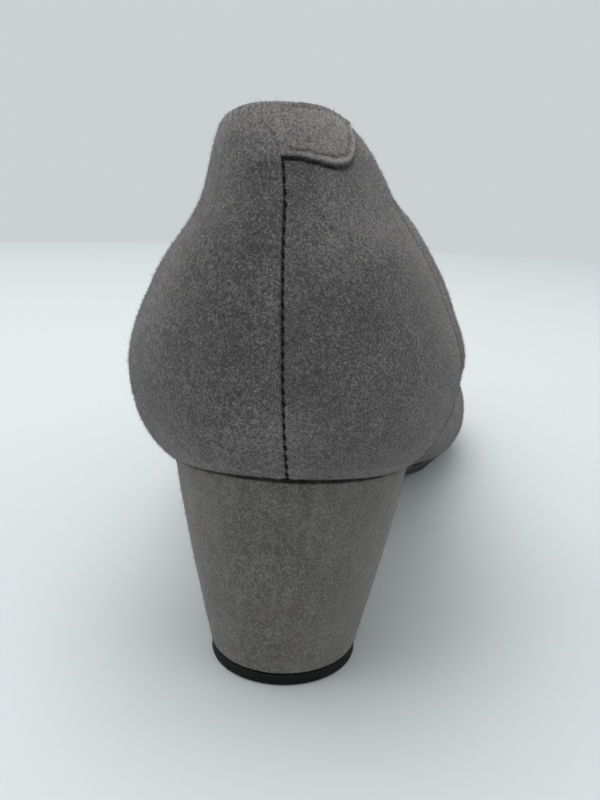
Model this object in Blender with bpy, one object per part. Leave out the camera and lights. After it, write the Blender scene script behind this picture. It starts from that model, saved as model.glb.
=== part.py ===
"""A left pump in suede on a covered block heel, built as its maker assembles it.

The upper is one hollow shell over the form of the last, with its tab as a step in the wall. An
insole closes it from inside, a thin outsole runs from the toe to the heel's breast, and the block
heel stands on a rubber top piece.

Frame: metres, +Z up, +Y towards the toe, +X towards the inner (medial) side of a left foot. The
origin is on the floor, at the centre of the top piece. The functions measure along the shoe from the
back of the seat, and to_frame() moves a point from there to the frame.
"""

import math

import bmesh
import bpy
import numpy as np

MM = 0.001

# The last, as the outside of the upper
FEATHER_LENGTH = 238 * MM
COUNTER_WIDTH = 66 * MM
BALL_WIDTH = 84 * MM
HEEL_HEIGHT = 45.2 * MM
BACK_HEIGHT = 64.8 * MM
VAMP_HEIGHT = 42 * MM
SEAT_SLOPE = math.tan(math.radians(8.9))
SEAT_LENGTH = 46 * MM
TOE_SPRING = 7 * MM
TREAD_START = 146 * MM
TREAD_END = 170 * MM
HEEL_PIVOT_SHARE = 0.126
TOE_PIVOT_SHARE = 0.664
BALL_SKEW = 9 * MM
TOE_LEAN = 5 * MM
CROWN_LEAN = 4 * MM
INNER_COLLAR_DROP = 3.2 * MM
INNER_DROP_START = 4 * MM
INNER_DROP_REACH = 14 * MM
HEEL_FULLNESS = 2.15
HEEL_FLARE_SHARE = 0.35
TOE_FULLNESS = 2.1

# The upper
UPPER_WALL = 2.0 * MM
TAB_THICKNESS = 0.8 * MM
TAB_REACH = 13.9 * MM
TAB_DEPTH = 8.7 * MM
TAB_DEPTH_AT_SEAM = 8.3 * MM
TAB_EDGE = 0.5 * MM
TAB_BLEND = 9 * MM

# The bottom
SOLE_THICKNESS = 3.0 * MM
SHANK_SOLE_THICKNESS = 2.2 * MM
SOLE_MARGIN = 0.5 * MM
SOLE_EDGE_SLANT = 0.9 * MM
INSOLE_THICKNESS = 3.0 * MM
GAP = 0.3 * MM

# The heel
TOP_PIECE_THICKNESS = 2.4 * MM
TOP_PIECE_WIDTH = 30 * MM
TOP_PIECE_LENGTH = 31 * MM
TOP_PIECE_SET_IN = 5.7 * MM
TOP_PIECE_BACK_DEPTH = 16.5 * MM
TOP_PIECE_BEVEL = 0.5 * MM
BREAST_HOLLOW = 1.5 * MM
HEEL_BELLY_SHARE = 0.025
BREAST_DRAW = 1.0 * MM
SEAT_MARGIN = 0.3 * MM

HEEL_PIVOT = HEEL_PIVOT_SHARE * FEATHER_LENGTH
TOE_PIVOT = TOE_PIVOT_SHARE * FEATHER_LENGTH
TREAD_HEIGHT = SOLE_THICKNESS + GAP
ORIGIN_ALONG = TOP_PIECE_SET_IN + TOP_PIECE_LENGTH / 2

# The rows of the last, from the back seam to the tip of the toe. "along" is a share of the
# feather's length. Widths are shares of half the counter's width on the heel rows and of half the
# ball's width on the fore rows, and on the first and the last row they reach back and forward from
# the pivots. Heights above the feather are shares of the back's height or of the vamp's height.
LAST_COLUMNS = ("zone", "along", "foot_centre", "body_centre", "foot", "side", "side_up", "mid", "mid_up",
                "neck", "neck_up", "crown", "crown_up")
LAST_ROWS = (
    ("heel", 0.000, 0.00, 0.00, 0.909, 1.05, 0.26, 0.936, 0.59, 0.824, 0.856, 0.68, 1.30),
    ("heel", HEEL_PIVOT_SHARE, 0.00, 0.00, 0.740, 1.01, 0.27, 0.85, 0.55, 0.56, 0.80, 0.38, 1.10),
    ("heel", 0.210, -0.01, 0.05, 0.700, 1.02, 0.27, 0.92, 0.50, 0.68, 0.74, 0.42, 1.08),
    ("heel", 0.330, -0.06, 0.03, 0.640, 1.02, 0.26, 0.99, 0.45, 0.84, 0.66, 0.42, 0.98),
    ("fore", 0.460, -0.06, -0.03, 0.560, 0.86, 0.28, 0.87, 0.62, 0.72, 0.98, 0.25, 1.25),
    ("fore", 0.575, -0.03, -0.01, 0.770, 0.95, 0.22, 0.93, 0.55, 0.72, 0.87, 0.00, 1.13),
    ("fore", TOE_PIVOT_SHARE, 0.00, 0.00, 0.890, 1.00, 0.18, 0.96, 0.48, 0.70, 0.80, 0.00, 0.98),
    ("fore", 1.000, 0.00, 0.00, 1.905, 1.965, 0.14, 1.915, 0.32, 1.62, 0.485, 1.19, 0.62),
)

# The collar seen from the side: a share of the feather's length, then its height as a share of the
# height of its back and, over the vamp, as a share of the vamp's height.
COLLAR_ROWS = (
    (-0.02, 1.002, 0.0),
    (0.018, 1.000, 0.0),
    (0.060, 0.975, 0.0),
    (0.126, 0.905, 0.0),
    (0.210, 0.800, 0.0),
    (0.336, 0.630, 0.0),
    (0.460, 0.490, 0.0),
    (0.560, 0.0, 1.113),
    (0.650, 0.0, 1.100),
    (1.100, 0.0, 1.035),
)

# How finely the surfaces are divided, and how far apart the stations at the tab's end and throat lie
TAB_STATION_GAP = 1.2 * MM
THROAT_REACH = 8 * MM
HEEL_TURNS = 11
SIDE_STATIONS = 18
THROAT_STATIONS = 5
RIDGE_STATIONS = 3
TOE_TURNS = 12
LOWER_ROWS = 11
SOLE_STATIONS = 20
HEEL_RING = 16
HEEL_LEVELS = 8

for old in list(bpy.data.objects):
    bpy.data.objects.remove(old)


def hermite(keys, values, at, slopes=None, first=None, last=None):
    """A smooth curve through rows of values, with slopes given for all rows, for the ends or for none."""
    keys = np.asarray(keys, float)
    values = np.asarray(values, float)
    wide = (-1,) + (1,) * (values.ndim - 1)
    steps = np.diff(keys).reshape(wide)
    if slopes is None:
        rises = np.diff(values, axis=0) / steps
        inner = (rises[:-1] * steps[1:] + rises[1:] * steps[:-1]) / (steps[:-1] + steps[1:])
        start = rises[:1] if first is None else np.broadcast_to(first, rises[:1].shape)
        end = rises[-1:] if last is None else np.broadcast_to(last, rises[:1].shape)
        slopes = np.concatenate([start, inner, end])
    slopes = np.asarray(slopes, float)
    at = np.asarray(at, float)
    row = np.clip(np.searchsorted(keys, at) - 1, 0, len(keys) - 2)
    step = (keys[row + 1] - keys[row]).reshape(wide)
    u = ((at - keys[row]) / (keys[row + 1] - keys[row])).reshape(wide)
    return (values[row] * (1 + 2 * u) * (1 - u) ** 2 + slopes[row] * step * u * (1 - u) ** 2
            + values[row + 1] * u * u * (3 - 2 * u) + slopes[row + 1] * step * u * u * (u - 1))


def ramp(x):
    """0 below 0, 1 above 1 and smooth between."""
    x = np.clip(x, 0, 1)
    return x * x * (3 - 2 * x)


def feather_height(along):
    """The height of the feather line, where the upper meets the bottom."""
    toe = FEATHER_LENGTH
    keys = (0, SEAT_LENGTH, TREAD_START, TREAD_END, toe)
    heights = (HEEL_HEIGHT, HEEL_HEIGHT - SEAT_SLOPE * SEAT_LENGTH, TREAD_HEIGHT, TREAD_HEIGHT,
               TREAD_HEIGHT + TOE_SPRING)
    slopes = (-SEAT_SLOPE, -SEAT_SLOPE, 0, 0, 2 * TOE_SPRING / (toe - TREAD_END))
    return hermite(keys, heights, np.clip(along, 0, toe), slopes)


def collar_height(points):
    """The height above the floor of the collar's edge over points, less by the inner side's drop."""
    along = points[..., 1].ravel()
    rows = np.array(COLLAR_ROWS)
    top = HEEL_HEIGHT + BACK_HEIGHT - UPPER_WALL / 2
    high = hermite(rows[:, 0] * FEATHER_LENGTH, rows[:, 1] * top + rows[:, 2] * VAMP_HEIGHT, along)
    inner = ramp((points[..., 0].ravel() - INNER_DROP_START) / INNER_DROP_REACH)
    inner *= 1 - ramp(along / (3 * HEEL_PIVOT))
    return (high - INNER_COLLAR_DROP * inner).reshape(points.shape[:-1])


def last_tables():
    """The rows in metres: along, centre, reach and height, the last three with a column per point."""
    half = np.array([COUNTER_WIDTH / 2 if row[0] == "heel" else BALL_WIDTH / 2 for row in LAST_ROWS])
    high = np.array([BACK_HEIGHT if row[0] == "heel" else VAMP_HEIGHT for row in LAST_ROWS])
    shares = {name: np.array([row[i] for row in LAST_ROWS]) for i, name in enumerate(LAST_COLUMNS) if i}
    points = ("foot", "side", "mid", "neck", "crown")
    reach = np.stack([shares[name] * half for name in points], 1)
    up = np.stack([shares[name + "_up"] * high if name != "foot" else 0 * high for name in points], 1)
    centre = np.stack([shares["foot_centre" if name == "foot" else "body_centre"] * half
                       for name in points], 1)
    return shares["along"] * FEATHER_LENGTH, centre, reach, up


def ribs(stations, side):
    """Five points of the last at each station, from the feather to the crown, and their slopes."""
    along, centre, reach, up = last_tables()
    middle = along[1:-1]
    q = np.clip(stations, HEEL_PIVOT, TOE_PIVOT)
    heel = np.pi / 2 * (1 - np.clip(stations / HEEL_PIVOT, 0, 1))[:, None]
    toe = np.pi / 2 * np.clip((stations - TOE_PIVOT) / (FEATHER_LENGTH - TOE_PIVOT), 0, 1)[:, None]
    level = np.linspace(0, 1, 5)
    flare = HEEL_FLARE_SHARE * (reach[2] - reach[1]) / (along[2] - along[1])
    wide = np.maximum(hermite(middle, reach[1:-1], q, first=flare, last=0.0), 0)
    high = hermite(middle, up[1:-1], q, first=(up[1] - up[0]) / reach[0],
                   last=(up[-1] - up[-2]) / reach[-1])
    forward = ramp((q - HEEL_PIVOT) / (TOE_PIVOT - HEEL_PIVOT))[:, None]
    round_heel, round_toe = 2 / HEEL_FULLNESS, 2 / TOE_FULLNESS
    back, ahead = np.sin(heel) ** round_heel, np.sin(toe) ** round_toe
    wide = hermite(middle, centre[1:-1], q, first=0.0, last=0.0) + side * (wide - flare * reach[0] * back)
    x = wide * np.cos(heel) ** round_heel * np.cos(toe) ** round_toe + TOE_LEAN * forward
    x = x - CROWN_LEAN * (level == 1) * (1 - forward)
    skew = side * BALL_SKEW * (1 - level) * forward
    y = q[:, None] + skew - reach[0] * back
    y = y + (TOE_PIVOT + reach[-1] - y) * ahead
    z = high + (up[0] - up[1]) * back + (up[-1] - up[-2]) * ahead
    z = z + feather_height(y.ravel()).reshape(y.shape)
    points = np.stack([x, y, z], -1)
    slopes = np.empty_like(points)
    slopes[:, 1:-1] = (points[:, 2:] - points[:, :-2]) * 2
    slopes[:, 0] = (points[:, 1] - points[:, 0]) * (8, 8, 3)
    slopes[:, -1] = (points[:, -1] - points[:, -2]) * 4
    open_share = np.clip(hermite(middle, reach[1:-1, -1], q) / (COUNTER_WIDTH / 4), 0, 1)
    fall = (up[-1, -1] - up[-2, -1]) / reach[-1, -1]
    slopes[:, -1, 2] = open_share * slopes[:, -1, 2] + (1 - open_share) * fall * slopes[:, -1, 1]
    return points, slopes


def on_ribs(points, slopes, share):
    """Points on the ribs at shares of the way from the feather to the crown, one row a rib."""
    row = np.clip((share * 4).astype(int), 0, 3)
    rib = np.arange(len(points))[:, None]
    u = (share * 4 - row)[..., None]
    return (points[rib, row] * (1 + 2 * u) * (1 - u) ** 2 + slopes[rib, row] / 4 * u * (1 - u) ** 2
            + points[rib, row + 1] * u * u * (3 - 2 * u) + slopes[rib, row + 1] / 4 * u * u * (u - 1))


def collar_share(points, slopes):
    """The share of each rib at which it reaches the collar, or 1 in front of the throat."""
    share = np.tile(np.linspace(0, 1, 241), (len(points), 1))
    line = on_ribs(points, slopes, share)
    above = line[..., 2] - collar_height(line)
    first = np.argmax(above > 0, axis=1)
    rib = np.arange(len(points))
    low = above[rib, first - 1]
    at = share[0][first - 1] + (share[0][1] - share[0][0]) * low / (low - above[rib, first])
    return np.where(above.max(axis=1) > 0, at, 1.0)


def throat_station():
    """The station at which the ridge of the vamp comes up to the collar."""
    stations = np.linspace(0.5 * FEATHER_LENGTH, TOE_PIVOT, 400)
    points, _ = ribs(stations, 1)
    above = points[:, -1, 2] - collar_height(points[:, -1])
    return stations[np.nonzero(above > 0)[0][-1]]


def length_along(line):
    """The distance from a line's first point to each of its points."""
    return np.concatenate([[0], np.cumsum(np.linalg.norm(np.diff(line, axis=0), axis=1))])


def stations_of_upper():
    """The stations from the back seam to the toe, closer at the tab's end and at the throat."""
    throat = throat_station()
    near = np.linspace(0, HEEL_PIVOT, 120)
    points, slopes = ribs(near, 1)
    edge = on_ribs(points, slopes, collar_share(points, slopes)[:, None])[:, 0]
    tab_end = np.interp((TAB_REACH - TAB_EDGE, TAB_REACH), length_along(edge), near)
    turns = HEEL_PIVOT * np.linspace(0, 1, HEEL_TURNS + 1)
    turns = turns[np.abs(turns - tab_end.mean()) > TAB_STATION_GAP]
    sides = np.linspace(HEEL_PIVOT, throat - THROAT_REACH, SIDE_STATIONS)[1:]
    behind = throat - THROAT_REACH * np.linspace(1, 0, THROAT_STATIONS + 1)[1:] ** 2
    ridge = np.linspace(throat, TOE_PIVOT, RIDGE_STATIONS + 1)[1:]
    toe = np.linspace(TOE_PIVOT, FEATHER_LENGTH, TOE_TURNS + 1)[1:]
    return np.concatenate([np.sort(np.concatenate([turns, tab_end])), sides, behind, ridge, toe]), throat


def rows_of_upper(points, slopes, top, edge_length):
    """The shares at which each rib gets a row: even ones low down, then rows that follow the tab."""
    fine = np.tile(np.linspace(0, 1, 97), (len(points), 1)) * top[:, None]
    line = on_ribs(points, slopes, fine)
    down = np.cumsum(np.linalg.norm(np.diff(line[:, ::-1], axis=1), axis=2), axis=1)
    down = np.concatenate([np.zeros((len(points), 1)), down], 1)
    depth = tab_depth(edge_length)
    marks = np.stack([depth + TAB_EDGE, depth, depth * 0.55, depth * 0.2, 0 * depth], 1)
    marks = np.stack([np.interp(m, d, f[::-1]) for m, d, f in zip(marks, down, fine)])
    lower = marks[:, :1] * np.linspace(0, 1, LOWER_ROWS + 1)[:-1]
    return np.concatenate([lower, marks], 1)


def tab_depth(edge_length):
    """How far the tab's lower edge lies below the collar at a distance from the seam."""
    share = np.clip(edge_length / TAB_REACH, 0, 1)
    deep = TAB_DEPTH_AT_SEAM + (TAB_DEPTH - TAB_DEPTH_AT_SEAM) * ramp(share * 2)
    return deep * np.maximum((1 - share ** 3.5) ** (1 / 2.2), 0.35)


def tab_lift(side, edge_length, down):
    """The tab's thickness above the last: a step on the inner side, blended away on the outer one."""
    if side > 0:
        within = (edge_length < TAB_REACH - TAB_EDGE / 2) & (down < tab_depth(edge_length) + TAB_EDGE / 2)
        return TAB_THICKNESS * within
    ahead, below = ramp(edge_length / TAB_BLEND), ramp((down - TAB_DEPTH_AT_SEAM) / TAB_EDGE)
    return TAB_THICKNESS * (1 - ahead) * (1 - below)


def welded(points, faces):
    """The same faces on points of which those in one place are made one."""
    _, first, index = np.unique(np.round(points / (0.001 * MM)).astype(np.int64), axis=0,
                                return_index=True, return_inverse=True)
    return points[first], index.reshape(-1)[faces], index.reshape(-1)


def normals_of(points, faces):
    """A normal for each point, from the quads round it."""
    a, b, c, d = (points[faces[:, i]] for i in range(4))
    flat = np.cross(c - a, d - b)
    out = np.zeros_like(points)
    for i in range(4):
        np.add.at(out, faces[:, i], flat)
    return out / np.linalg.norm(out, axis=1)[:, None]


def to_frame(point):
    """A point measured from the back of the seat, moved to the frame of the part."""
    return (float(point[0]), float(point[1]) - ORIGIN_ALONG, float(point[2]))


def node(name, points, faces, colour, roughness):
    """One named solid from points and faces, closed, facing out, with its own material."""
    work = bmesh.new()
    corners = [work.verts.new(to_frame(point)) for point in points]
    for face in faces:
        ids = list(dict.fromkeys(int(i) for i in face))
        if len(ids) > 2:
            work.faces.new([corners[i] for i in ids])
    loose = [v for v in work.verts if not v.link_faces]
    bmesh.ops.delete(work, geom=loose, context="VERTS")
    bmesh.ops.recalc_face_normals(work, faces=work.faces)
    if work.calc_volume(signed=True) < 0:
        bmesh.ops.reverse_faces(work, faces=work.faces)
    mesh = bpy.data.meshes.new(name)
    work.to_mesh(mesh)
    work.free()
    mesh.shade_smooth()
    material = bpy.data.materials.new(name)
    material.use_nodes = True
    shader = material.node_tree.nodes["Principled BSDF"]
    shader.inputs["Base Color"].default_value = (*colour, 1)
    shader.inputs["Roughness"].default_value = roughness
    mesh.materials.append(material)
    made = bpy.data.objects.new(name, mesh)
    bpy.context.scene.collection.objects.link(made)
    return made


def grid_faces(rows, columns, start=0):
    """Quads over a grid of points stored row by row from an index."""
    i = start + np.arange(rows - 1)[:, None] * columns + np.arange(columns - 1)[None]
    return np.stack([i, i + 1, i + columns + 1, i + columns], -1).reshape(-1, 4)


def upper_surface():
    """The outer surface of the last as two welded grids, with the lines of its foot and its collar."""
    stations, throat = stations_of_upper()
    points, faces, lift, lines = [], [], [], {"foot": [], "collar": []}
    for side in (1, -1):
        rib, slopes = ribs(stations, side)
        top = collar_share(rib, slopes)
        top[stations >= throat] = 1.0
        edge = length_along(on_ribs(rib, slopes, top[:, None])[:, 0])
        share = rows_of_upper(rib, slopes, top, edge)
        grid = on_ribs(rib, slopes, share)
        down = np.cumsum(np.linalg.norm(np.diff(grid[:, ::-1], axis=1), axis=2), axis=1)[:, ::-1]
        down = np.concatenate([down, np.zeros((len(stations), 1))], 1)
        start = sum(len(p) for p in points)
        quads = grid_faces(*share.shape, start)
        faces.append(quads if side < 0 else quads[:, ::-1])
        points.append(grid.reshape(-1, 3))
        lift.append(tab_lift(side, edge[:, None] + 0 * down, down).ravel())
        ids = start + np.arange(share.size).reshape(share.shape)
        lines["foot"].append(ids[:, 0])
        lines["collar"].append(ids[stations <= throat, -1])
    points, faces, index = welded(np.concatenate(points), np.concatenate(faces))
    lifted = np.zeros(len(points))
    np.maximum.at(lifted, index, np.concatenate(lift))
    loops = {name: index[np.concatenate([a, b[::-1][1:-1]])] for name, (a, b) in lines.items()}
    return points, faces, lifted, loops


def upper():
    """The hollow shell: its outer and inner surface, joined round the foot and over the collar."""
    points, faces, lifted, loops = upper_surface()
    out = normals_of(points, faces)
    inner = points - out * UPPER_WALL
    foot = loops["foot"]
    flat = out[foot] * (1, 1, 0)
    size = np.linalg.norm(flat, axis=1)[:, None]
    inner[foot] = points[foot] - flat / size ** 2 * UPPER_WALL
    inner[foot, 2] = points[foot, 2]
    outer = points + out * lifted[:, None]
    count = len(points)
    collar = loops["collar"]
    below = np.roll(collar, 1)
    along = points[np.roll(collar, -1)] - points[below]
    rise = np.cross(out[collar], along)
    rise /= np.linalg.norm(rise, axis=1)[:, None]
    rise *= np.sign(rise[:, 2])[:, None]
    middle = (outer[collar] + inner[collar]) / 2
    reach = (outer[collar] - inner[collar]) / 2
    rounds = [middle + reach * math.cos(a) + rise * UPPER_WALL / 2 * math.sin(a)
              for a in np.radians((50, 90, 130))]
    everything = np.concatenate([outer, inner, *rounds])
    rings = [collar] + [2 * count + k * len(collar) + np.arange(len(collar)) for k in range(3)] \
        + [collar + count]
    sides = [faces, faces[:, ::-1] + count]
    for a, b in [*zip(rings[:-1], rings[1:]), (foot, foot + count)]:
        sides.append(np.stack([a, np.roll(a, -1), np.roll(b, -1), b], 1))
    return everything, np.concatenate(sides)


def foot_outline(stations, side, inset, inside=False):
    """The feather line in plan, moved inwards by an inset, and by the upper's wall when inside."""
    close = np.array([-0.02, 0, 0.02]) * MM
    rib, slopes = ribs((stations[:, None] + close).ravel().clip(0, FEATHER_LENGTH), side)
    line = rib[:, 0].reshape(len(stations), 3, 3)
    way = line[:, 2] - line[:, 0]
    out = np.cross(way, slopes[1::3, 0])
    upright = np.linalg.norm(out[:, :2], axis=1) / np.linalg.norm(out, axis=1)
    inset = inset + inside * UPPER_WALL / upright
    inwards = np.stack([-way[:, 1], way[:, 0]], 1) * side
    inwards /= np.linalg.norm(inwards, axis=1)[:, None]
    moved = line[:, 1, :2] + inwards * inset[:, None]
    ends = (stations <= 0) | (stations >= FEATHER_LENGTH)
    moved[ends, 0] = line[ends, 1, 0]
    moved[ends, 1] = line[ends, 1, 1] + (inset * np.where(stations <= 0, 1, -1))[ends]
    return moved


def plate(stations, top_inset, bottom_inset, top, bottom, inside=False, columns=5):
    """A thin plate that follows the feather: a ring of points at each station, joined along it."""
    across = np.linspace(0, 1, columns)[None, :, None]
    rings = []
    for inset, lift, order in ((top_inset, top, 1), (bottom_inset, bottom, -1)):
        left, right = (foot_outline(stations, side, inset, inside) for side in (-1, 1))
        flat = left[:, None] * (1 - across) + right[:, None] * across
        high = feather_height(flat[..., 1].ravel()).reshape(flat.shape[:2])
        high = high + lift(flat[..., 1])
        rings.append(np.concatenate([flat, high[..., None]], 2)[:, ::order])
    ring = np.concatenate(rings, 1)
    count = ring.shape[1]
    ids = np.arange(len(stations) * count).reshape(len(stations), count)
    a, b = ids[:-1], ids[1:]
    faces = np.stack([a, np.roll(a, -1, 1), np.roll(b, -1, 1), b], -1).reshape(-1, 4)
    points, faces, index = welded(ring.reshape(-1, 3), faces)
    return points, [*faces, index[ids[0]], index[ids[-1]][::-1]]


def insole():
    """The board and sock, inside the upper's wall."""
    stations = np.concatenate([np.linspace(0, HEEL_PIVOT, HEEL_TURNS + 1)[:-1],
                               np.linspace(HEEL_PIVOT, TOE_PIVOT, SOLE_STATIONS)[:-1],
                               np.linspace(TOE_PIVOT, FEATHER_LENGTH, TOE_TURNS + 1)])
    return plate(stations, GAP, 2 * GAP, lambda y: INSOLE_THICKNESS + 0 * y, lambda y: 0 * y, inside=True)


def outsole():
    """The thin sole, from the toe to the heel's breast, thicker under the ball."""
    start = SEAT_LENGTH + GAP
    stations = np.concatenate([np.linspace(start, TOE_PIVOT, SOLE_STATIONS)[:-1],
                               np.linspace(TOE_PIVOT, FEATHER_LENGTH, TOE_TURNS + 1)])

    def underside(y):
        thick = ramp((y - start) / (TREAD_START - start))
        return -GAP - SHANK_SOLE_THICKNESS - (SOLE_THICKNESS - SHANK_SOLE_THICKNESS) * thick

    return plate(stations, -SOLE_MARGIN, SOLE_EDGE_SLANT, lambda y: -GAP + 0 * y, underside)


def d_shape(half, back, depth, front, front_half, hollow):
    """A heel's plan: a rounded back, sides that run to the breast, and a hollow breast."""
    turn = np.linspace(-1, 1, 2 * HEEL_RING + 1) * np.pi / 2
    round_back = np.stack([half * np.sin(turn), back + depth * (1 - np.cos(turn))], 1)
    run = np.linspace(0, 1, 5)[1:, None]
    right = np.concatenate([half + (front_half - half) * run, back + depth + (front - back - depth) * run], 1)
    wide = np.linspace(1, -1, 7)[1:-1]
    breast = np.stack([front_half * wide, front - hollow * (1 - wide ** 2)], 1)
    return np.concatenate([round_back, right, breast, right[::-1] * (-1, 1)])


def heel_block():
    """The heel, from the plan of its top piece to the plan of the seat."""
    bottom = TOP_PIECE_THICKNESS + GAP
    low = d_shape(TOP_PIECE_WIDTH / 2, TOP_PIECE_SET_IN, TOP_PIECE_BACK_DEPTH,
                  TOP_PIECE_SET_IN + TOP_PIECE_LENGTH, TOP_PIECE_WIDTH / 2 - BREAST_DRAW, BREAST_HOLLOW)
    seat = COUNTER_WIDTH / 2 * LAST_ROWS[1][LAST_COLUMNS.index("foot")] - SEAT_MARGIN
    high = d_shape(seat, SEAT_MARGIN, HEEL_PIVOT - SEAT_MARGIN, SEAT_LENGTH, seat - BREAST_DRAW,
                   BREAST_HOLLOW)
    rings = []
    for share in np.linspace(0, 1, HEEL_LEVELS):
        flat = low + (high - low) * share
        flat[:, 0] *= 1 + HEEL_BELLY_SHARE * 4 * share * (1 - share)
        top = feather_height(flat[:, 1]) - GAP
        rings.append(np.column_stack([flat, bottom + (top - bottom) * share]))
    count = len(low)
    ids = np.arange(HEEL_LEVELS * count).reshape(HEEL_LEVELS, count)
    a, b = ids[:-1], ids[1:]
    faces = np.stack([a, np.roll(a, -1, 1), np.roll(b, -1, 1), b], -1).reshape(-1, 4)
    return np.concatenate(rings), [*faces, ids[0], ids[-1][::-1]]


def top_piece():
    """The rubber under the heel, with a small bevel round its tread."""
    rings = []
    for inset, height in ((TOP_PIECE_BEVEL, 0), (0, TOP_PIECE_BEVEL), (0, TOP_PIECE_THICKNESS)):
        half = TOP_PIECE_WIDTH / 2 - inset
        flat = d_shape(half, TOP_PIECE_SET_IN + inset, TOP_PIECE_BACK_DEPTH - inset,
                       TOP_PIECE_SET_IN + TOP_PIECE_LENGTH - inset, half - BREAST_DRAW, BREAST_HOLLOW)
        rings.append(np.column_stack([flat, np.full(len(flat), height)]))
    count = len(rings[0])
    ids = np.arange(3 * count).reshape(3, count)
    a, b = ids[:-1], ids[1:]
    faces = np.stack([a, np.roll(a, -1, 1), np.roll(b, -1, 1), b], -1).reshape(-1, 4)
    return np.concatenate(rings), [*faces, ids[0], ids[-1][::-1]]


node("upper", *upper(), (0.075, 0.072, 0.072), 0.9)
node("insole", *insole(), (0.03, 0.03, 0.03), 0.8)
node("outsole", *outsole(), (0.012, 0.012, 0.012), 0.5)
node("heel_block", *heel_block(), (0.09, 0.087, 0.085), 0.9)
node("top_piece", *top_piece(), (0.006, 0.006, 0.006), 0.6)
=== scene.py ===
"""The upper, the tab over its back seam, the covered heel, the black top piece, the thin outsole and the
inside are meshes worked out from the last's own rows, with the nap as fibres on the suede.

Frame: metres, +Z up, +Y towards the toe, +X towards the inner side of the foot, and the floor at 0.
"""

import math

import bmesh
import bpy
import numpy as np
from mathutils import Matrix, Vector, noise


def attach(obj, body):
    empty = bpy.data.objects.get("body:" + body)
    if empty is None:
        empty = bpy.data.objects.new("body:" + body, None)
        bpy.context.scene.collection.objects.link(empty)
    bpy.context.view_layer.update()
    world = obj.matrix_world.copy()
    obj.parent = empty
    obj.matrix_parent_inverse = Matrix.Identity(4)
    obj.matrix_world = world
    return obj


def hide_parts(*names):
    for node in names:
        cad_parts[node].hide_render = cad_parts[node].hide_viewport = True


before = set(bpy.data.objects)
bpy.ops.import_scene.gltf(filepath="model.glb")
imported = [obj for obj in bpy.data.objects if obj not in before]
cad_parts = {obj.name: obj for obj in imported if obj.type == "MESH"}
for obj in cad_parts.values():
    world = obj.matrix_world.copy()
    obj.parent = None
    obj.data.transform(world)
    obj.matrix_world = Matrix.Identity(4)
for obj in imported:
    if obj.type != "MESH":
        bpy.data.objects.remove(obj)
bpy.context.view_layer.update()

MM = 0.001

# The last, as in the part's source
FEATHER_LENGTH = 238 * MM
COUNTER_WIDTH = 66 * MM
BALL_WIDTH = 84 * MM
HEEL_HEIGHT = 45.2 * MM
BACK_HEIGHT = 64.8 * MM
VAMP_HEIGHT = 42 * MM
SEAT_SLOPE = math.tan(math.radians(8.9))
SEAT_LENGTH = 46 * MM
TOE_SPRING = 7 * MM
TREAD_START = 146 * MM
TREAD_END = 170 * MM
HEEL_PIVOT_SHARE = 0.126
TOE_PIVOT_SHARE = 0.664
BALL_SKEW = 9 * MM
TOE_LEAN = 5 * MM
CROWN_LEAN = 4 * MM
INNER_COLLAR_DROP = 3.2 * MM
INNER_DROP_START = 4 * MM
INNER_DROP_REACH = 14 * MM
HEEL_FULLNESS = 2.15
HEEL_FLARE_SHARE = 0.35
TOE_FULLNESS = 2.1

# The upper: a suede folded over at the collar, and a lining inside it
UPPER_WALL = 2.0 * MM
SUEDE = 1.3 * MM
LINING_CLEARANCE = 0.02 * MM
COLLAR_FOLD = 5 * MM
COLLAR_ROLL = 0.4 * MM
COLLAR_ROLL_REACH = 3.6 * MM
COLLAR_RISE = 1.3 * MM
COLLAR_TURNS = 7
COLLAR_FADE = 8 * MM
NECK_FULLNESS = 0.4 * MM
FEATHER_TUCK = 0.6 * MM
FEATHER_TUCK_HEIGHT = 0.6 * MM
DENTS = 0.28 * MM
DENT_SIZE = 17 * MM
SMALL_DENT_SIZE = 6.5 * MM
SMALL_DENT_SHARE = 0.45

# The tab that laps over the back seam onto the inner quarter
TAB_THICKNESS = 0.8 * MM
TAB_REACH = 13.9 * MM
TAB_SURROUND = 1.3 * TAB_REACH
TAB_DEPTH = 9.4 * MM
TAB_DEPTH_AT_SEAM = 7.8 * MM
TAB_DEEPENING_START = 0.08
TAB_DEEPENING_RUN = 0.6
TAB_END_POWER = 3.5
TAB_FOOT_POWER = 2.2
TAB_EDGE = 0.35 * MM
TAB_BLEND = 9 * MM
TAB_RIM = 0.16 * MM
TAB_RIM_INSET = 0.6 * MM
TAB_STITCH_DEPTH = 0.3 * MM
TAB_STITCH_INSET = 1.5 * MM
TAB_STITCH_WIDTH = 0.3 * MM
TAB_SHADOW_DEPTH = 0.18 * MM

# The back seam, its stitches, and the crease beside its top
SEAM_TOP_HEIGHT = 101 * MM
SEAM_TOP_OFFSET = -1.0 * MM
SEAM_FOOT_OFFSET = 1.75 * MM
SEAM_SLIDE_REACH = 22 * MM
SEAM_SURROUND = 6 * MM
SEAM_DEPTH = 0.32 * MM
SEAM_HALF_WIDTH = 0.22 * MM
SEAM_PILLOW = 0.14 * MM
STITCH_PITCH = 2.1 * MM
STITCH_SHARE = 0.45
STITCH_THICKNESS = 0.5 * MM
STITCH_LIFT = 0.8 * SEAM_DEPTH
FIRST_STITCH_DROP = 0.9 * MM
CREASE_DEPTH = 0.16 * MM
CREASE_WIDTH = 0.3 * MM
CREASE_DROP = 0.5 * MM
CREASE_SLOPE = 0.35
CREASE_WAVE = 0.4 * MM
CREASE_WAVE_SPAN = 1.6 * MM
CREASE_LENGTH = 8 * MM

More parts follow.
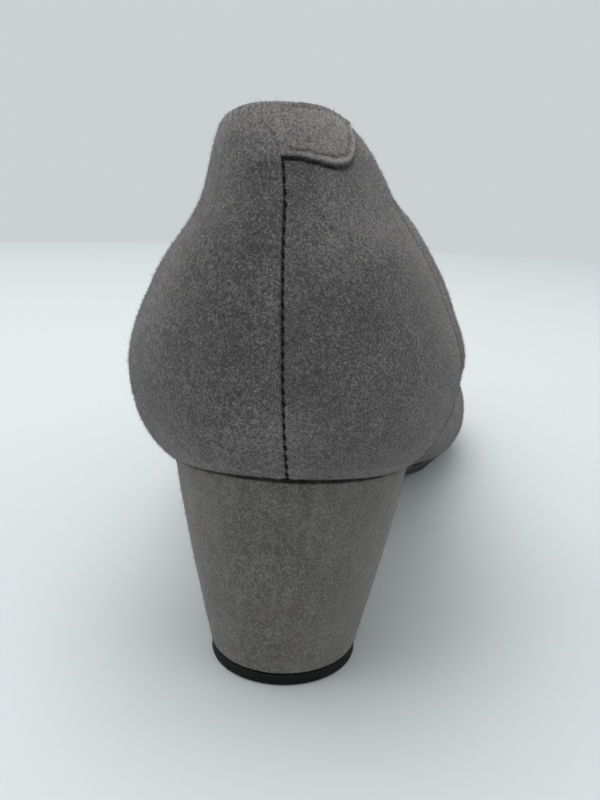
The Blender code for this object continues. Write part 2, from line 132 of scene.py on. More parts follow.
# How much darker or paler the suede is in places, with painted shade and a painted highlight among them: a
# tone of 1 is TONE_REACH of the way along its colours
# painted shadow under the tab's edge; the seam's dark joint and the tab's dark stitches, each with painted
# shade in its groove; a painted highlight on the tab's rim, with its raised nap
UPPER_TONES = {"seam": -1.0, "tab's raised and lit rim": 0.25, "tab's stitches and their groove's shade": -0.6, "painted shadow under the tab's edge": -2.4,
               "foot of the seam": 0.2, "collar": 0.3, "fold at the foot": 0.12, "outer quarter": -0.06,
               "inner neck": 0.2, "tab": 0.55}
TONE_REACH = 0.27
COLLAR_EDGE_TONE = 0.4
# painted shade along the dark line where the upper meets the heel, and more where the gap between them shows
SEAT_LINE_SHADE = 0.5
SEAT_GAP_SHADE = 3.0
HEEL_GAP_SHADE = 3.5
# painted shade on the heel's top, under the counter's overhang
HEEL_TOP_SHADE = 0.1
INNER_SMOOTHNESS = 0.38
HEEL_WEAR_LEAST = 0.1
HEEL_WEAR_MORE = 0.5

# The bottom and the heel
SOLE_THICKNESS = 3.0 * MM
SHANK_SOLE_THICKNESS = 2.2 * MM
SOLE_MARGIN = 0.5 * MM
SOLE_FOOT_INSET = 0.3 * MM
SOLE_ROUNDING = 0.55 * MM
INSOLE_THICKNESS = 3.0 * MM
SOCK_ROUNDING = 0.7 * MM
SOCK_DISH = 0.4 * MM
GAP = 0.3 * MM
TOP_PIECE_THICKNESS = 2.4 * MM
TOP_PIECE_WIDTH = 30 * MM
TOP_PIECE_LENGTH = 31 * MM
TOP_PIECE_SET_IN = 5.7 * MM
TOP_PIECE_BACK_DEPTH = 16.5 * MM
BREAST_HOLLOW = 1.5 * MM
HEEL_BELLY_SHARE = 0.025
BREAST_DRAW = 1.0 * MM
SEAT_MARGIN = 0.3 * MM
HEEL_FOLD = 0.35 * MM
CRISP_ANGLE = math.radians(50)
HEEL_PIVOT = HEEL_PIVOT_SHARE * FEATHER_LENGTH
TOE_PIVOT = TOE_PIVOT_SHARE * FEATHER_LENGTH
INNER_DROP_END = 3 * HEEL_PIVOT
TREAD_HEIGHT = SOLE_THICKNESS + GAP
ORIGIN_ALONG = TOP_PIECE_SET_IN + TOP_PIECE_LENGTH / 2

# The nap: fibres that stand up from the suede, and how thickly on each part of it
FIBRE_LENGTH = 0.55 * MM
FIBRE_THICKNESS = 0.07 * MM
FIBRE_LEAN = 1.15
FIBRE_TURN = 6.28
FIBRES_PER_MM2 = 1.3
COUNTER_NAP = 2.2
VAMP_NAP = 0.9
HEEL_NAP = 0.8
WORN_HEEL_NAP_LOSS = 0.6
REAR_NAP_END = 45 * MM

# The camera, at the photograph's place behind the shoe
CAMERA_AT = (16.3 * MM, -185.5 * MM, 105.5 * MM)
CAMERA_YAW = math.radians(5.41)
CAMERA_PITCH = math.radians(13.63)
CAMERA_ROLL = math.radians(4.37)
CAMERA_AIM = (1.5 * MM, 5 * MM, 53 * MM)
CAMERA_LENS = 44.0

# The floor, and the soft boxes by their place, width and power
FLOOR_RADIUS = 0.75
LIGHTS = {"top": ((-0.12, 0.22, 0.85), 0.9, 5.6), "left": ((-0.65, -0.3, 0.4), 0.6, 1.2),
          "right": ((0.7, -0.25, 0.4), 0.6, 0.9)}
LIGHT_AIM = (0.0, 0.04, 0.05)
WORLD_STRENGTH = 0.81

# The rows of the last, from the back seam to the tip of the toe, as shares of its named sizes
LAST_COLUMNS = ("zone", "along", "foot_centre", "body_centre", "foot", "side", "side_up", "mid", "mid_up",
                "neck", "neck_up", "crown", "crown_up")
LAST_ROWS = (
    ("heel", 0.000, 0.00, 0.00, 0.909, 1.05, 0.26, 0.936, 0.59, 0.824, 0.856, 0.68, 1.30),
    ("heel", HEEL_PIVOT_SHARE, 0.00, 0.00, 0.740, 1.01, 0.27, 0.85, 0.55, 0.56, 0.80, 0.38, 1.10),
    ("heel", 0.210, -0.01, 0.05, 0.700, 1.02, 0.27, 0.92, 0.50, 0.68, 0.74, 0.42, 1.08),
    ("heel", 0.330, -0.06, 0.03, 0.640, 1.02, 0.26, 0.99, 0.45, 0.84, 0.66, 0.42, 0.98),
    ("fore", 0.460, -0.06, -0.03, 0.560, 0.86, 0.28, 0.87, 0.62, 0.72, 0.98, 0.25, 1.25),
    ("fore", 0.575, -0.03, -0.01, 0.770, 0.95, 0.22, 0.93, 0.55, 0.72, 0.87, 0.00, 1.13),
    ("fore", TOE_PIVOT_SHARE, 0.00, 0.00, 0.890, 1.00, 0.18, 0.96, 0.48, 0.70, 0.80, 0.00, 0.98),
    ("fore", 1.000, 0.00, 0.00, 1.905, 1.965, 0.14, 1.915, 0.32, 1.62, 0.485, 1.19, 0.62),
)

# The collar seen from the side: a share of the feather's length, then its height as a share of the
# height of its back and, over the vamp, as a share of the vamp's height
COLLAR_ROWS = (
    (-0.02, 1.002, 0.0),
    (0.018, 1.000, 0.0),
    (0.060, 0.975, 0.0),
    (0.126, 0.905, 0.0),
    (0.210, 0.800, 0.0),
    (0.336, 0.630, 0.0),
    (0.460, 0.490, 0.0),
    (0.560, 0.0, 1.113),
    (0.650, 0.0, 1.100),
    (1.100, 0.0, 1.035),
)

# How finely the pieces are measured and divided, with the steps away from the seam in millimetres
RIB_SAMPLES = 481
DEPTH_SAMPLES = 193
HEEL_SAMPLES = 400
THROAT_SAMPLES = 2000
FINE_STEP = 0.45 * MM
HEEL_STEP = 0.9 * MM
SEAM_STEPS = (0, 0.12, 0.25, 0.4, 0.55, 0.75, 1.0, 1.3, 1.65)
TAB_START = 2.0 * MM
SIDE_STATIONS = 84
THROAT_STATIONS = 9
THROAT_SPAN = 9 * MM
RIDGE_STATIONS = 7
TOE_TURNS = 44
FINE_DEPTH = 11.5 * MM
FOOT_ROWS = (0, 0.004, 0.009, 0.015)
LOWER_ROWS_START = 0.024
LOWER_ROWS = 43
PLATE_STATIONS = (24, 70, 36)
PLATE_COLUMNS = 13
HEEL_RING = 56
HEEL_SIDE_RING = 17
BREAST_RING = 33
HEEL_LEVELS = 44
HEEL_TOP_ROWS = (1.0 * MM, 0.6 * MM)
CORNER_PASSES = 3
ROUNDING_STEPS = 4


# Curves and the form of the last

def hermite(keys, values, at, slopes=None, first=None, last=None):
    """A smooth curve through rows of values, with slopes given for all rows, for the ends or for none."""
    keys = np.asarray(keys, float)
    values = np.asarray(values, float)
    wide = (-1,) + (1,) * (values.ndim - 1)
    steps = np.diff(keys).reshape(wide)
    if slopes is None:
        rises = np.diff(values, axis=0) / steps
        inner = (rises[:-1] * steps[1:] + rises[1:] * steps[:-1]) / (steps[:-1] + steps[1:])
        start = rises[:1] if first is None else np.broadcast_to(first, rises[:1].shape)
        end = rises[-1:] if last is None else np.broadcast_to(last, rises[:1].shape)
        slopes = np.concatenate([start, inner, end])
    slopes = np.asarray(slopes, float)
    at = np.asarray(at, float)
    row = np.clip(np.searchsorted(keys, at) - 1, 0, len(keys) - 2)
    step = (keys[row + 1] - keys[row]).reshape(wide)
    u = ((at - keys[row]) / (keys[row + 1] - keys[row])).reshape(wide)
    return (values[row] * (1 + 2 * u) * (1 - u) ** 2 + slopes[row] * step * u * (1 - u) ** 2
            + values[row + 1] * u * u * (3 - 2 * u) + slopes[row + 1] * step * u * u * (u - 1))


def ramp(x):
    """0 below 0, 1 above 1 and smooth between."""
    x = np.clip(x, 0, 1)
    return x * x * (3 - 2 * x)


def bell(x):
    """1 at 0, falling smoothly to 0 within about 2 each way."""
    return np.exp(-x * x)


def rise(x, start, run):
    """0 before a start, 1 after a run from there and smooth between."""
    return ramp((x - start) / run)


def mound(x, middle, width):
    """1 at the middle, falling smoothly to 0 within about 2 widths each way."""
    return bell((x - middle) / width)


def feather_height(along):
    """The height of the feather line, where the upper meets the bottom."""
    toe = FEATHER_LENGTH
    keys = (0, SEAT_LENGTH, TREAD_START, TREAD_END, toe)
    heights = (HEEL_HEIGHT, HEEL_HEIGHT - SEAT_SLOPE * SEAT_LENGTH, TREAD_HEIGHT, TREAD_HEIGHT,
               TREAD_HEIGHT + TOE_SPRING)
    slopes = (-SEAT_SLOPE, -SEAT_SLOPE, 0, 0, 2 * TOE_SPRING / (toe - TREAD_END))
    return hermite(keys, heights, np.clip(along, 0, toe), slopes)


def collar_height(points):
    """The height above the floor of the collar's edge over points, less by the inner side's drop."""
    along = points[..., 1].ravel()
    rows = np.array(COLLAR_ROWS)
    top = HEEL_HEIGHT + BACK_HEIGHT - UPPER_WALL / 2
    high = hermite(rows[:, 0] * FEATHER_LENGTH, rows[:, 1] * top + rows[:, 2] * VAMP_HEIGHT, along)
    inner = rise(points[..., 0].ravel(), INNER_DROP_START, INNER_DROP_REACH)
    inner *= 1 - rise(along, 0, INNER_DROP_END)
    return (high - INNER_COLLAR_DROP * inner).reshape(points.shape[:-1])


def last_tables():
    """The rows in metres: along, centre, reach and height, the last three with a column per point."""
    half = np.array([COUNTER_WIDTH / 2 if row[0] == "heel" else BALL_WIDTH / 2 for row in LAST_ROWS])
    high = np.array([BACK_HEIGHT if row[0] == "heel" else VAMP_HEIGHT for row in LAST_ROWS])
    shares = {name: np.array([row[i] for row in LAST_ROWS]) for i, name in enumerate(LAST_COLUMNS) if i}
    points = ("foot", "side", "mid", "neck", "crown")
    reach = np.stack([shares[name] * half for name in points], 1)
    up = np.stack([shares[name + "_up"] * high if name != "foot" else 0 * high for name in points], 1)
    centre = np.stack([shares["foot_centre" if name == "foot" else "body_centre"] * half
                       for name in points], 1)
    return shares["along"] * FEATHER_LENGTH, centre, reach, up


def ribs(stations, side):
    """Five points of the last at each station, from the feather to the crown, and their slopes."""
    along, centre, reach, up = last_tables()
    middle = along[1:-1]
    q = np.clip(stations, HEEL_PIVOT, TOE_PIVOT)
    heel = np.pi / 2 * (1 - np.clip(stations / HEEL_PIVOT, 0, 1))[:, None]
    toe = np.pi / 2 * np.clip((stations - TOE_PIVOT) / (FEATHER_LENGTH - TOE_PIVOT), 0, 1)[:, None]
    level = np.linspace(0, 1, 5)
    flare = HEEL_FLARE_SHARE * (reach[2] - reach[1]) / (along[2] - along[1])
    wide = np.maximum(hermite(middle, reach[1:-1], q, first=flare, last=0.0), 0)
    high = hermite(middle, up[1:-1], q, first=(up[1] - up[0]) / reach[0],
                   last=(up[-1] - up[-2]) / reach[-1])
    forward = ramp((q - HEEL_PIVOT) / (TOE_PIVOT - HEEL_PIVOT))[:, None]
    round_heel, round_toe = 2 / HEEL_FULLNESS, 2 / TOE_FULLNESS
    back, ahead = np.sin(heel) ** round_heel, np.sin(toe) ** round_toe
    wide = hermite(middle, centre[1:-1], q, first=0.0, last=0.0) + side * (wide - flare * reach[0] * back)
    x = wide * np.cos(heel) ** round_heel * np.cos(toe) ** round_toe + TOE_LEAN * forward
    x = x - CROWN_LEAN * (level == 1) * (1 - forward)
    skew = side * BALL_SKEW * (1 - level) * forward
    y = q[:, None] + skew - reach[0] * back
    y = y + (TOE_PIVOT + reach[-1] - y) * ahead
    z = high + (up[0] - up[1]) * back + (up[-1] - up[-2]) * ahead
    z = z + feather_height(y.ravel()).reshape(y.shape)
    points = np.stack([x, y, z], -1)
    slopes = np.empty_like(points)
    slopes[:, 1:-1] = (points[:, 2:] - points[:, :-2]) * 2
    slopes[:, 0] = (points[:, 1] - points[:, 0]) * (8, 8, 3)
    slopes[:, -1] = (points[:, -1] - points[:, -2]) * 4
    open_share = np.clip(hermite(middle, reach[1:-1, -1], q) / (COUNTER_WIDTH / 4), 0, 1)
    fall = (up[-1, -1] - up[-2, -1]) / reach[-1, -1]
    slopes[:, -1, 2] = open_share * slopes[:, -1, 2] + (1 - open_share) * fall * slopes[:, -1, 1]
    return points, slopes


def on_ribs(points, slopes, share):
    """Points on the ribs at shares of the way from the feather to the crown, one row a rib."""
    row = np.clip((share * 4).astype(int), 0, 3)
    rib = np.arange(len(points))[:, None]
    u = (share * 4 - row)[..., None]
    return (points[rib, row] * (1 + 2 * u) * (1 - u) ** 2 + slopes[rib, row] / 4 * u * (1 - u) ** 2
            + points[rib, row + 1] * u * u * (3 - 2 * u) + slopes[rib, row + 1] / 4 * u * u * (u - 1))


def collar_share(points, slopes):
    """The share of each rib at which it reaches the collar, or 1 in front of the throat."""
    share = np.tile(np.linspace(0, 1, RIB_SAMPLES), (len(points), 1))
    line = on_ribs(points, slopes, share)
    above = line[..., 2] - collar_height(line)
    first = np.argmax(above > 0, axis=1)
    rib = np.arange(len(points))
    low = above[rib, first - 1]
    at = share[0][first - 1] + (share[0][1] - share[0][0]) * low / (low - above[rib, first])
    return np.where(above.max(axis=1) > 0, at, 1.0)


def throat_station():
    """The station at which the ridge of the vamp comes up to the collar."""
    stations = np.linspace(0.5 * FEATHER_LENGTH, TOE_PIVOT, THROAT_SAMPLES)
    points, _ = ribs(stations, 1)
    above = points[:, -1, 2] - collar_height(points[:, -1])
    return stations[np.nonzero(above > 0)[0][-1]]


def length_along(grid, axis=0):
    """The distance along one axis of a line or grid of points, from its first point to each of them."""
    steps = np.linalg.norm(np.diff(grid, axis=axis), axis=-1)
    start = np.zeros_like(np.take(steps, [0], axis))
    return np.concatenate([start, np.cumsum(steps, axis)], axis)


# The surface of the upper, as two grids from the back seam to the toe

def stations_of_upper(throat):
    """The stations from the back seam to the toe, closest at the seam, the tab and the throat."""
    near = np.linspace(0, HEEL_PIVOT, HEEL_SAMPLES)
    points, slopes = ribs(near, 1)
    edge = length_along(on_ribs(points, slopes, collar_share(points, slopes)[:, None])[:, 0])
    seam = np.array(SEAM_STEPS) * MM
    before, beyond = TAB_REACH - 2 * FINE_STEP, TAB_REACH + 2 * FINE_STEP
    tab = np.arange(TAB_START, before, FINE_STEP)
    end = np.arange(before, beyond, FINE_STEP / 2)
    rest = np.linspace(beyond, edge[-1], int((edge[-1] - TAB_REACH) / HEEL_STEP) + 2)
    heel = np.interp(np.concatenate([seam, tab, end, rest]), edge, near)
    sides = np.linspace(HEEL_PIVOT, throat - THROAT_SPAN, SIDE_STATIONS)[1:]
    behind = throat - THROAT_SPAN * np.linspace(1, 0, THROAT_STATIONS + 1)[1:] ** 2
    ridge = np.linspace(throat, TOE_PIVOT, RIDGE_STATIONS + 1)[1:]
    toe = np.linspace(TOE_PIVOT, FEATHER_LENGTH, TOE_TURNS + 1)[1:]
    return np.concatenate([heel, sides, behind, ridge, toe])


def rows_of_upper(points, slopes, top):
    """The shares at which each rib gets a row: fine ones under the collar, and even ones below."""
    fine = np.linspace(0, 1, DEPTH_SAMPLES)[None] * top[:, None]
    down = length_along(on_ribs(points, slopes, fine)[:, ::-1], 1)
    depths = np.arange(0, FINE_DEPTH, FINE_STEP)[::-1]
    marks = np.stack([np.interp(depths, d, f[::-1]) for d, f in zip(down, fine)])
    lower = np.concatenate([FOOT_ROWS, np.linspace(LOWER_ROWS_START, 1, LOWER_ROWS)[:-1]])
    return np.concatenate([marks[:, :1] * lower, marks], 1)


def side_grid(side, throat, stations):
    """One side's grid of points, with each point's distances: down from the collar, up from the foot,
    around from the back seam, and the collar's own distance from the seam above it."""
    rib, slopes = ribs(stations, side)
    top = collar_share(rib, slopes)
    top[stations >= throat] = 1.0
    grid = on_ribs(rib, slopes, rows_of_upper(rib, slopes, top))
    around = length_along(grid)
    return grid, {"side": np.full(around.shape, float(side)), "around": around,
                  "down": length_along(grid[:, ::-1], 1)[:, ::-1], "up": length_along(grid, 1),
                  "edge": np.broadcast_to(around[:, -1:], around.shape)}


def welded(points, faces):
    """Points in one place made one: the points that stay, the faces on them, and where each point went."""
    _, first, index = np.unique(np.round(points / (0.0005 * MM)).astype(np.int64), axis=0,
                                return_index=True, return_inverse=True)
    return first, index.reshape(-1)[faces], index.reshape(-1)


def normals_of(points, faces):
    """A normal for each point, from the quads round it."""
    a, b, c, d = (points[faces[:, i]] for i in range(4))
    flat = np.cross(c - a, d - b)
    out = np.zeros_like(points)
    for i in range(4):
        np.add.at(out, faces[:, i], flat)
    return out / np.linalg.norm(out, axis=1)[:, None]


def grid_faces(rows, columns, start=0):
    """Quads over a grid of points stored row by row from an index."""
    i = start + np.arange(rows - 1)[:, None] * columns + np.arange(columns - 1)[None]
    return np.stack([i, i + 1, i + columns + 1, i + columns], -1).reshape(-1, 4)


def bands(rings, next_rings):
    """Quads between closed rings of points and the rings next to them, all given by their indices."""
    ahead = np.roll(rings, -1, -1), np.roll(next_rings, -1, -1)
    return np.stack([rings, *ahead, next_rings], -1).reshape(-1, 4)


def slide_to_seam(inner, inner_way, outer, outer_way):
    """The two sides' grids, slid sideways over their surface so that they meet along the seam."""
    for row in range(inner.shape[1]):
        way = np.concatenate([-outer_way[::-1, row], inner_way[1:, row]])
        line = np.concatenate([outer[::-1, row], inner[1:, row]])
        share = (inner[0, row, 2] - HEEL_HEIGHT) / (SEAM_TOP_HEIGHT - HEEL_HEIGHT)
        offset = SEAM_FOOT_OFFSET + (SEAM_TOP_OFFSET - SEAM_FOOT_OFFSET) * share
        at = way + offset * (1 - ramp(np.abs(way) / SEAM_SLIDE_REACH))
        moved = np.stack([np.interp(at, way, line[:, i]) for i in range(3)], 1)
        outer[:, row], inner[:, row] = moved[:len(outer)][::-1], moved[len(outer) - 1:]


def upper_surface(throat):
    """The last's surface: points, quads, facts about each point, and the loops of foot and collar."""
    stations = stations_of_upper(throat)
    points, faces, facts, lines = [], [], [], {"foot": [], "collar": []}
    halves = {side: side_grid(side, throat, stations) for side in (1, -1)}
    slide_to_seam(halves[1][0], halves[1][1]["around"], halves[-1][0], halves[-1][1]["around"])
    for side, (grid, fact) in halves.items():
        start = sum(len(p) for p in points)
        quads = grid_faces(*grid.shape[:2], start)
        faces.append(quads if side < 0 else quads[:, ::-1])
        points.append(grid.reshape(-1, 3))
        facts.append({name: value.ravel() for name, value in fact.items()})
        ids = start + np.arange(grid.shape[0] * grid.shape[1]).reshape(grid.shape[:2])
        lines["foot"].append(ids[:, 0])
        lines["collar"].append(ids[stations <= throat, -1])
    points = np.concatenate(points)
    first, faces, index = welded(points, np.concatenate(faces))
    facts = {name: np.concatenate([fact[name] for fact in facts])[first] for name in facts[0]}
    loops = {name: index[np.concatenate([a, b[::-1][1:-1]])] for name, (a, b) in lines.items()}
    points = points[first]
    along = points[:, 1]
    # inside the tab's edge, on the inner side near the tab, beside the back seam, over the heel's back, from
    # side to side over the seat, and on the collar short of the throat
    facts["inside"] = tab_inside(facts["edge"], facts["down"])
    facts["near_tab"] = (facts["side"] > 0) & (facts["edge"] < TAB_SURROUND)
    facts["rear"] = ((facts["around"] < SEAM_SURROUND) & (along < HEEL_PIVOT)).astype(float)
    facts["back"] = ramp((HEEL_PIVOT * 2 - along) / HEEL_PIVOT)
    facts["across"] = np.where(along < SEAT_LENGTH / 2, points[:, 0], 1.0)
    facts["rim"] = ramp((throat - along) / COLLAR_FADE)
    return points, faces, facts, loops


def tab_inside(edge, down):
    """How far inside the tab's rounded outline a point of the inner side lies, in metres."""
    share = edge / TAB_REACH
    deepening = rise(share, TAB_DEEPENING_START, TAB_DEEPENING_RUN)
    deep = TAB_DEPTH_AT_SEAM + (TAB_DEPTH - TAB_DEPTH_AT_SEAM) * deepening
    depth = down / deep
    value = 1 - share ** TAB_END_POWER - depth ** TAB_FOOT_POWER
    steep = np.hypot(TAB_END_POWER * share ** (TAB_END_POWER - 1) / TAB_REACH,
                     TAB_FOOT_POWER * depth ** (TAB_FOOT_POWER - 1) / deep)
    return value / np.maximum(steep, 1 / TAB_DEPTH)


def main_facts(facts):
    """Each point's side, its distances from the collar, the foot and the seam, and from the tab's edge."""
    return [facts[name] for name in ("side", "down", "up", "around", "edge", "inside")]


def upper_relief(facts, points):
    """The suede's relief over the last: the tab's step, the sunk back seam, the rolled collar, the
    tuck over the heel and soft dents."""
    side, down, up, around, edge, inside = main_facts(facts)
    step = TAB_THICKNESS * ramp(0.5 + inside / TAB_EDGE)
    step += TAB_RIM * rise(edge, 0, 5 * MM) * mound(inside, TAB_RIM_INSET, 0.5 * MM)
    step -= TAB_STITCH_DEPTH * rise(edge, 0, 2 * MM) * mound(inside, TAB_STITCH_INSET, TAB_STITCH_WIDTH)
    step -= TAB_SHADOW_DEPTH * mound(inside, -0.45 * MM, 0.35 * MM)
    soft = 0.5 * MM + 3 * MM * rise(edge, 0, 4 * MM)
    lap = TAB_THICKNESS * (1 - rise(edge, 0, TAB_BLEND)) * (1 - rise(down, TAB_DEPTH_AT_SEAM, soft))
    relief = np.where(side > 0, step * facts["near_tab"], lap)
    relief += NECK_FULLNESS * (side < 0) * mound(down, 9 * MM, 7 * MM) * mound(around, 20 * MM, 12 * MM)
    relief += below_tab(facts) * (SEAM_PILLOW * mound(around, 1.5 * MM, 0.8 * MM)
                                  - SEAM_DEPTH * mound(around, 0, SEAM_HALF_WIDTH))
    across = -side * around
    crease = down - TAB_DEPTH_AT_SEAM - CREASE_DROP - CREASE_SLOPE * across
    crease += CREASE_WAVE * np.sin(across / CREASE_WAVE_SPAN)
    ends = rise(across, 0, MM) * rise(CREASE_LENGTH - across, 0, MM) * (points[:, 1] < HEEL_PIVOT)
    relief -= CREASE_DEPTH * ends * mound(crease, 0, CREASE_WIDTH)
    relief -= COLLAR_ROLL * np.clip(1 - down / COLLAR_ROLL_REACH, 0, 1) ** 2 * facts["rim"]
    tuck = FEATHER_TUCK * (0.75 + 0.25 * np.tanh(side * around / (7 * MM)))
    relief -= tuck * (1 - rise(up, 0, FEATHER_TUCK_HEIGHT)) ** 1.5
    dents = np.array([noise.noise(Vector(p) / DENT_SIZE)
                      + SMALL_DENT_SHARE * noise.noise(Vector(p) / SMALL_DENT_SIZE) for p in points])
    return relief + DENTS * dents * rise(up, 0, 5 * MM) * ramp(0.3 + down / (6 * MM))


def below_tab(facts):
    """1 on the open run of the back seam under the tab, 0 elsewhere."""
    return rise(facts["down"], TAB_DEPTH_AT_SEAM - 0.2 * MM, 0.6 * MM) * facts["rear"]


def seat_gap_shade(x):
    """How dark the shade painted into the gap over the heel is, 0 to 1, on a line across the shoe: most on
    the inner side.
    """
    open_share = 0.3 * rise(x, -12 * MM, 8 * MM) + 0.7 * rise(x, -MM, 3 * MM)
    return open_share * rise(20 * MM - x, 0, 5 * MM)


def upper_tone(facts):
    """Where the suede is darker, as with the painted shade in the seam, under the tab's edge and along the
    seat, or paler, as with the painted highlight on the tab's rim and on worn folds.
    """
    side, down, up, around, edge, inside = main_facts(facts)
    near = facts["near_tab"]
    lap = rise(side * around, -14 * MM, 24 * MM) * rise(TAB_REACH + 2 * MM - edge, 0, 3 * MM)
    lap *= np.where(side > 0, ramp(0.5 + inside / MM), 1.0)
    # painted shade in the grooves of the seam and the tab's stitches and under the tab's edge, and a painted
    # highlight on the tab's rim
    places = {
        "seam": below_tab(facts) * mound(around, 0, 0.2 * MM),
        "tab's raised and lit rim": near * rise(edge, 0, 4 * MM) * mound(inside, TAB_RIM_INSET, 0.45 * MM),
        "tab's stitches and their groove's shade": near * rise(edge, 0, 2 * MM) * mound(inside, TAB_STITCH_INSET, TAB_STITCH_WIDTH),
        "painted shadow under the tab's edge": near * mound(inside, -0.22 * MM, 0.22 * MM),
        "foot of the seam": mound(around, 0, 9 * MM) * mound(up, 9 * MM, 9 * MM),
        "collar": mound(down, 0, 4.5 * MM) * facts["rim"],
        "fold at the foot": mound(up, 2.2 * MM, 1.2 * MM),
        "outer quarter": rise(-side * around, 0, 6 * MM) * mound(around, 0, 50 * MM),
        "inner neck": (side > 0) * rise(around, 0, 8 * MM) * mound(down, 16 * MM, 9 * MM) * facts["back"],
        "tab": lap * rise(TAB_DEPTH - down, 0, 2 * MM),
    }
    tone = sum(UPPER_TONES[place] * share for place, share in places.items())
    # painted shade along the upper's lower edge, over the gap above the heel
    return tone - (SEAT_LINE_SHADE + SEAT_GAP_SHADE * seat_gap_shade(facts["across"])) * mound(up, 0, 0.3 * MM)


def to_frame(points):
    """Points measured from the back of the seat, moved to the frame."""
    return points - np.array((0, ORIGIN_ALONG, 0))


def shell(points, faces, out, loops, outer_lift, wall):
    """A closed shell: an outer and an inner surface, joined round the foot and over a rounded collar."""
    inner = points - out * wall
    foot, collar = loops["foot"], loops["collar"]
    flat = out[foot] * (1, 1, 0)
    inner[foot] = points[foot] - flat / (np.linalg.norm(flat, axis=1)[:, None] ** 2) * wall
    inner[foot, 2] = points[foot, 2]
    outer = points + out * outer_lift[:, None]
    along = points[np.roll(collar, -1)] - points[np.roll(collar, 1)]
    upwards = np.cross(out[collar], along)
    upwards /= np.linalg.norm(upwards, axis=1)[:, None]
    upwards *= np.sign(upwards[:, 2])[:, None]
    middle = (outer[collar] + inner[collar]) / 2
    reach = (outer[collar] - inner[collar]) / 2
    angles = np.pi * np.arange(1, COLLAR_TURNS + 1) / (COLLAR_TURNS + 1)
    rounds = [middle + reach * math.cos(a) + upwards * COLLAR_RISE * math.sin(a) for a in angles]
    count = len(points)
    between = 2 * count + np.arange(COLLAR_TURNS * len(collar)).reshape(COLLAR_TURNS, -1)
    rings = [collar, *between, collar + count]
    sides = [faces, faces[:, ::-1] + count]
    sides += [bands(a, b) for a, b in [*zip(rings, rings[1:]), (foot, foot + count)]]
    return np.concatenate([outer, inner, *rounds]), np.concatenate(sides)


# Meshes, nodes and Geometry Nodes

def linear(colour):
    """An sRGB hex colour as linear red, green and blue with full alpha."""
    parts = [int(colour[i:i + 2], 16) / 255 for i in (1, 3, 5)]
    return (*[c / 12.92 if c <= 0.04045 else ((c + 0.055) / 1.055) ** 2.4 for c in parts], 1)


def add(tree, kind, inputs=(), stops=(), **settings):
    """A node with its settings, its inputs set or linked, and a ramp's stops as places and colours, of
    which the first two are there already."""
    made = tree.nodes.new(kind)
    for name, value in settings.items():
        setattr(made, name, value)
    for name, value in dict(inputs).items():
        if isinstance(value, bpy.types.NodeSocket):
            tree.links.new(value, made.inputs[name])
        else:
            made.inputs[name].default_value = value
    for i, (place, colour) in enumerate(stops):
        stop = made.color_ramp.elements[i] if i < 2 else made.color_ramp.elements.new(place)
        stop.position = place
        stop.color = linear(colour)
    return made


def linked(name, data):
    """A new object in the scene that holds a mesh, a light or a camera."""
    made = bpy.data.objects.new(name, data)
    bpy.context.scene.collection.objects.link(made)
    return made


def plain_mesh(name, points, faces, material, marks=None, crisp=None):
    """A piece at the origin with its place in its mesh, smooth, closed and facing out, with named
    values at its points, and crisp edges where its faces turn by more than an angle."""
    marks = marks or {}
    work = bmesh.new()
    for label in marks:
        work.verts.layers.float.new(label)
    corners = [work.verts.new(p) for p in to_frame(points).tolist()]
    for label, values in marks.items():
        layer = work.verts.layers.float[label]
        for corner, value in zip(corners, values.tolist()):
            corner[layer] = value
    for face in faces:
        ids = list(dict.fromkeys(int(i) for i in face))
        if len(ids) > 2:
            work.faces.new([corners[i] for i in ids])
    bmesh.ops.delete(work, geom=[v for v in work.verts if not v.link_faces], context="VERTS")
    bmesh.ops.recalc_face_normals(work, faces=work.faces)
    if work.calc_volume(signed=True) < 0:
        bmesh.ops.reverse_faces(work, faces=work.faces)
    mesh = bpy.data.meshes.new(name)
    work.to_mesh(mesh)
    work.free()
    mesh.shade_smooth()
    if crisp:
        mesh.set_sharp_from_angle(angle=crisp)
    mesh.materials.append(material)
    return linked(name, mesh)


def dress(piece, node):
    """Make a piece move with the shoe and stand for its CAD node, which is hidden."""
    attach(piece, "root")
    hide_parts(node)


def grown(name, base, tree, material):
    """The plain mesh that a Geometry Nodes tree makes on a base object."""
    modifier = base.modifiers.new("grow", "NODES")
    modifier.node_group = tree
    bpy.context.view_layer.update()
    result = base.evaluated_get(bpy.context.evaluated_depsgraph_get())
    mesh = bpy.data.meshes.new_from_object(result)
    base.modifiers.remove(modifier)
    mesh.name = name
    mesh.materials.clear()
    mesh.materials.append(material)
    return linked(name, mesh)


def new_tree(name, sizes):
    """An empty Geometry Nodes tree with a geometry in and out and named inputs for its sizes."""
    tree = bpy.data.node_groups.new(name, "GeometryNodeTree")
    tree.interface.new_socket("Geometry", in_out="INPUT", socket_type="NodeSocketGeometry")
    for label, value in sizes.items():
        socket = tree.interface.new_socket(label, in_out="INPUT", socket_type="NodeSocketFloat")
        socket.default_value = value
    tree.interface.new_socket("Geometry", in_out="OUTPUT", socket_type="NodeSocketGeometry")
    return tree, add(tree, "NodeGroupInput").outputs


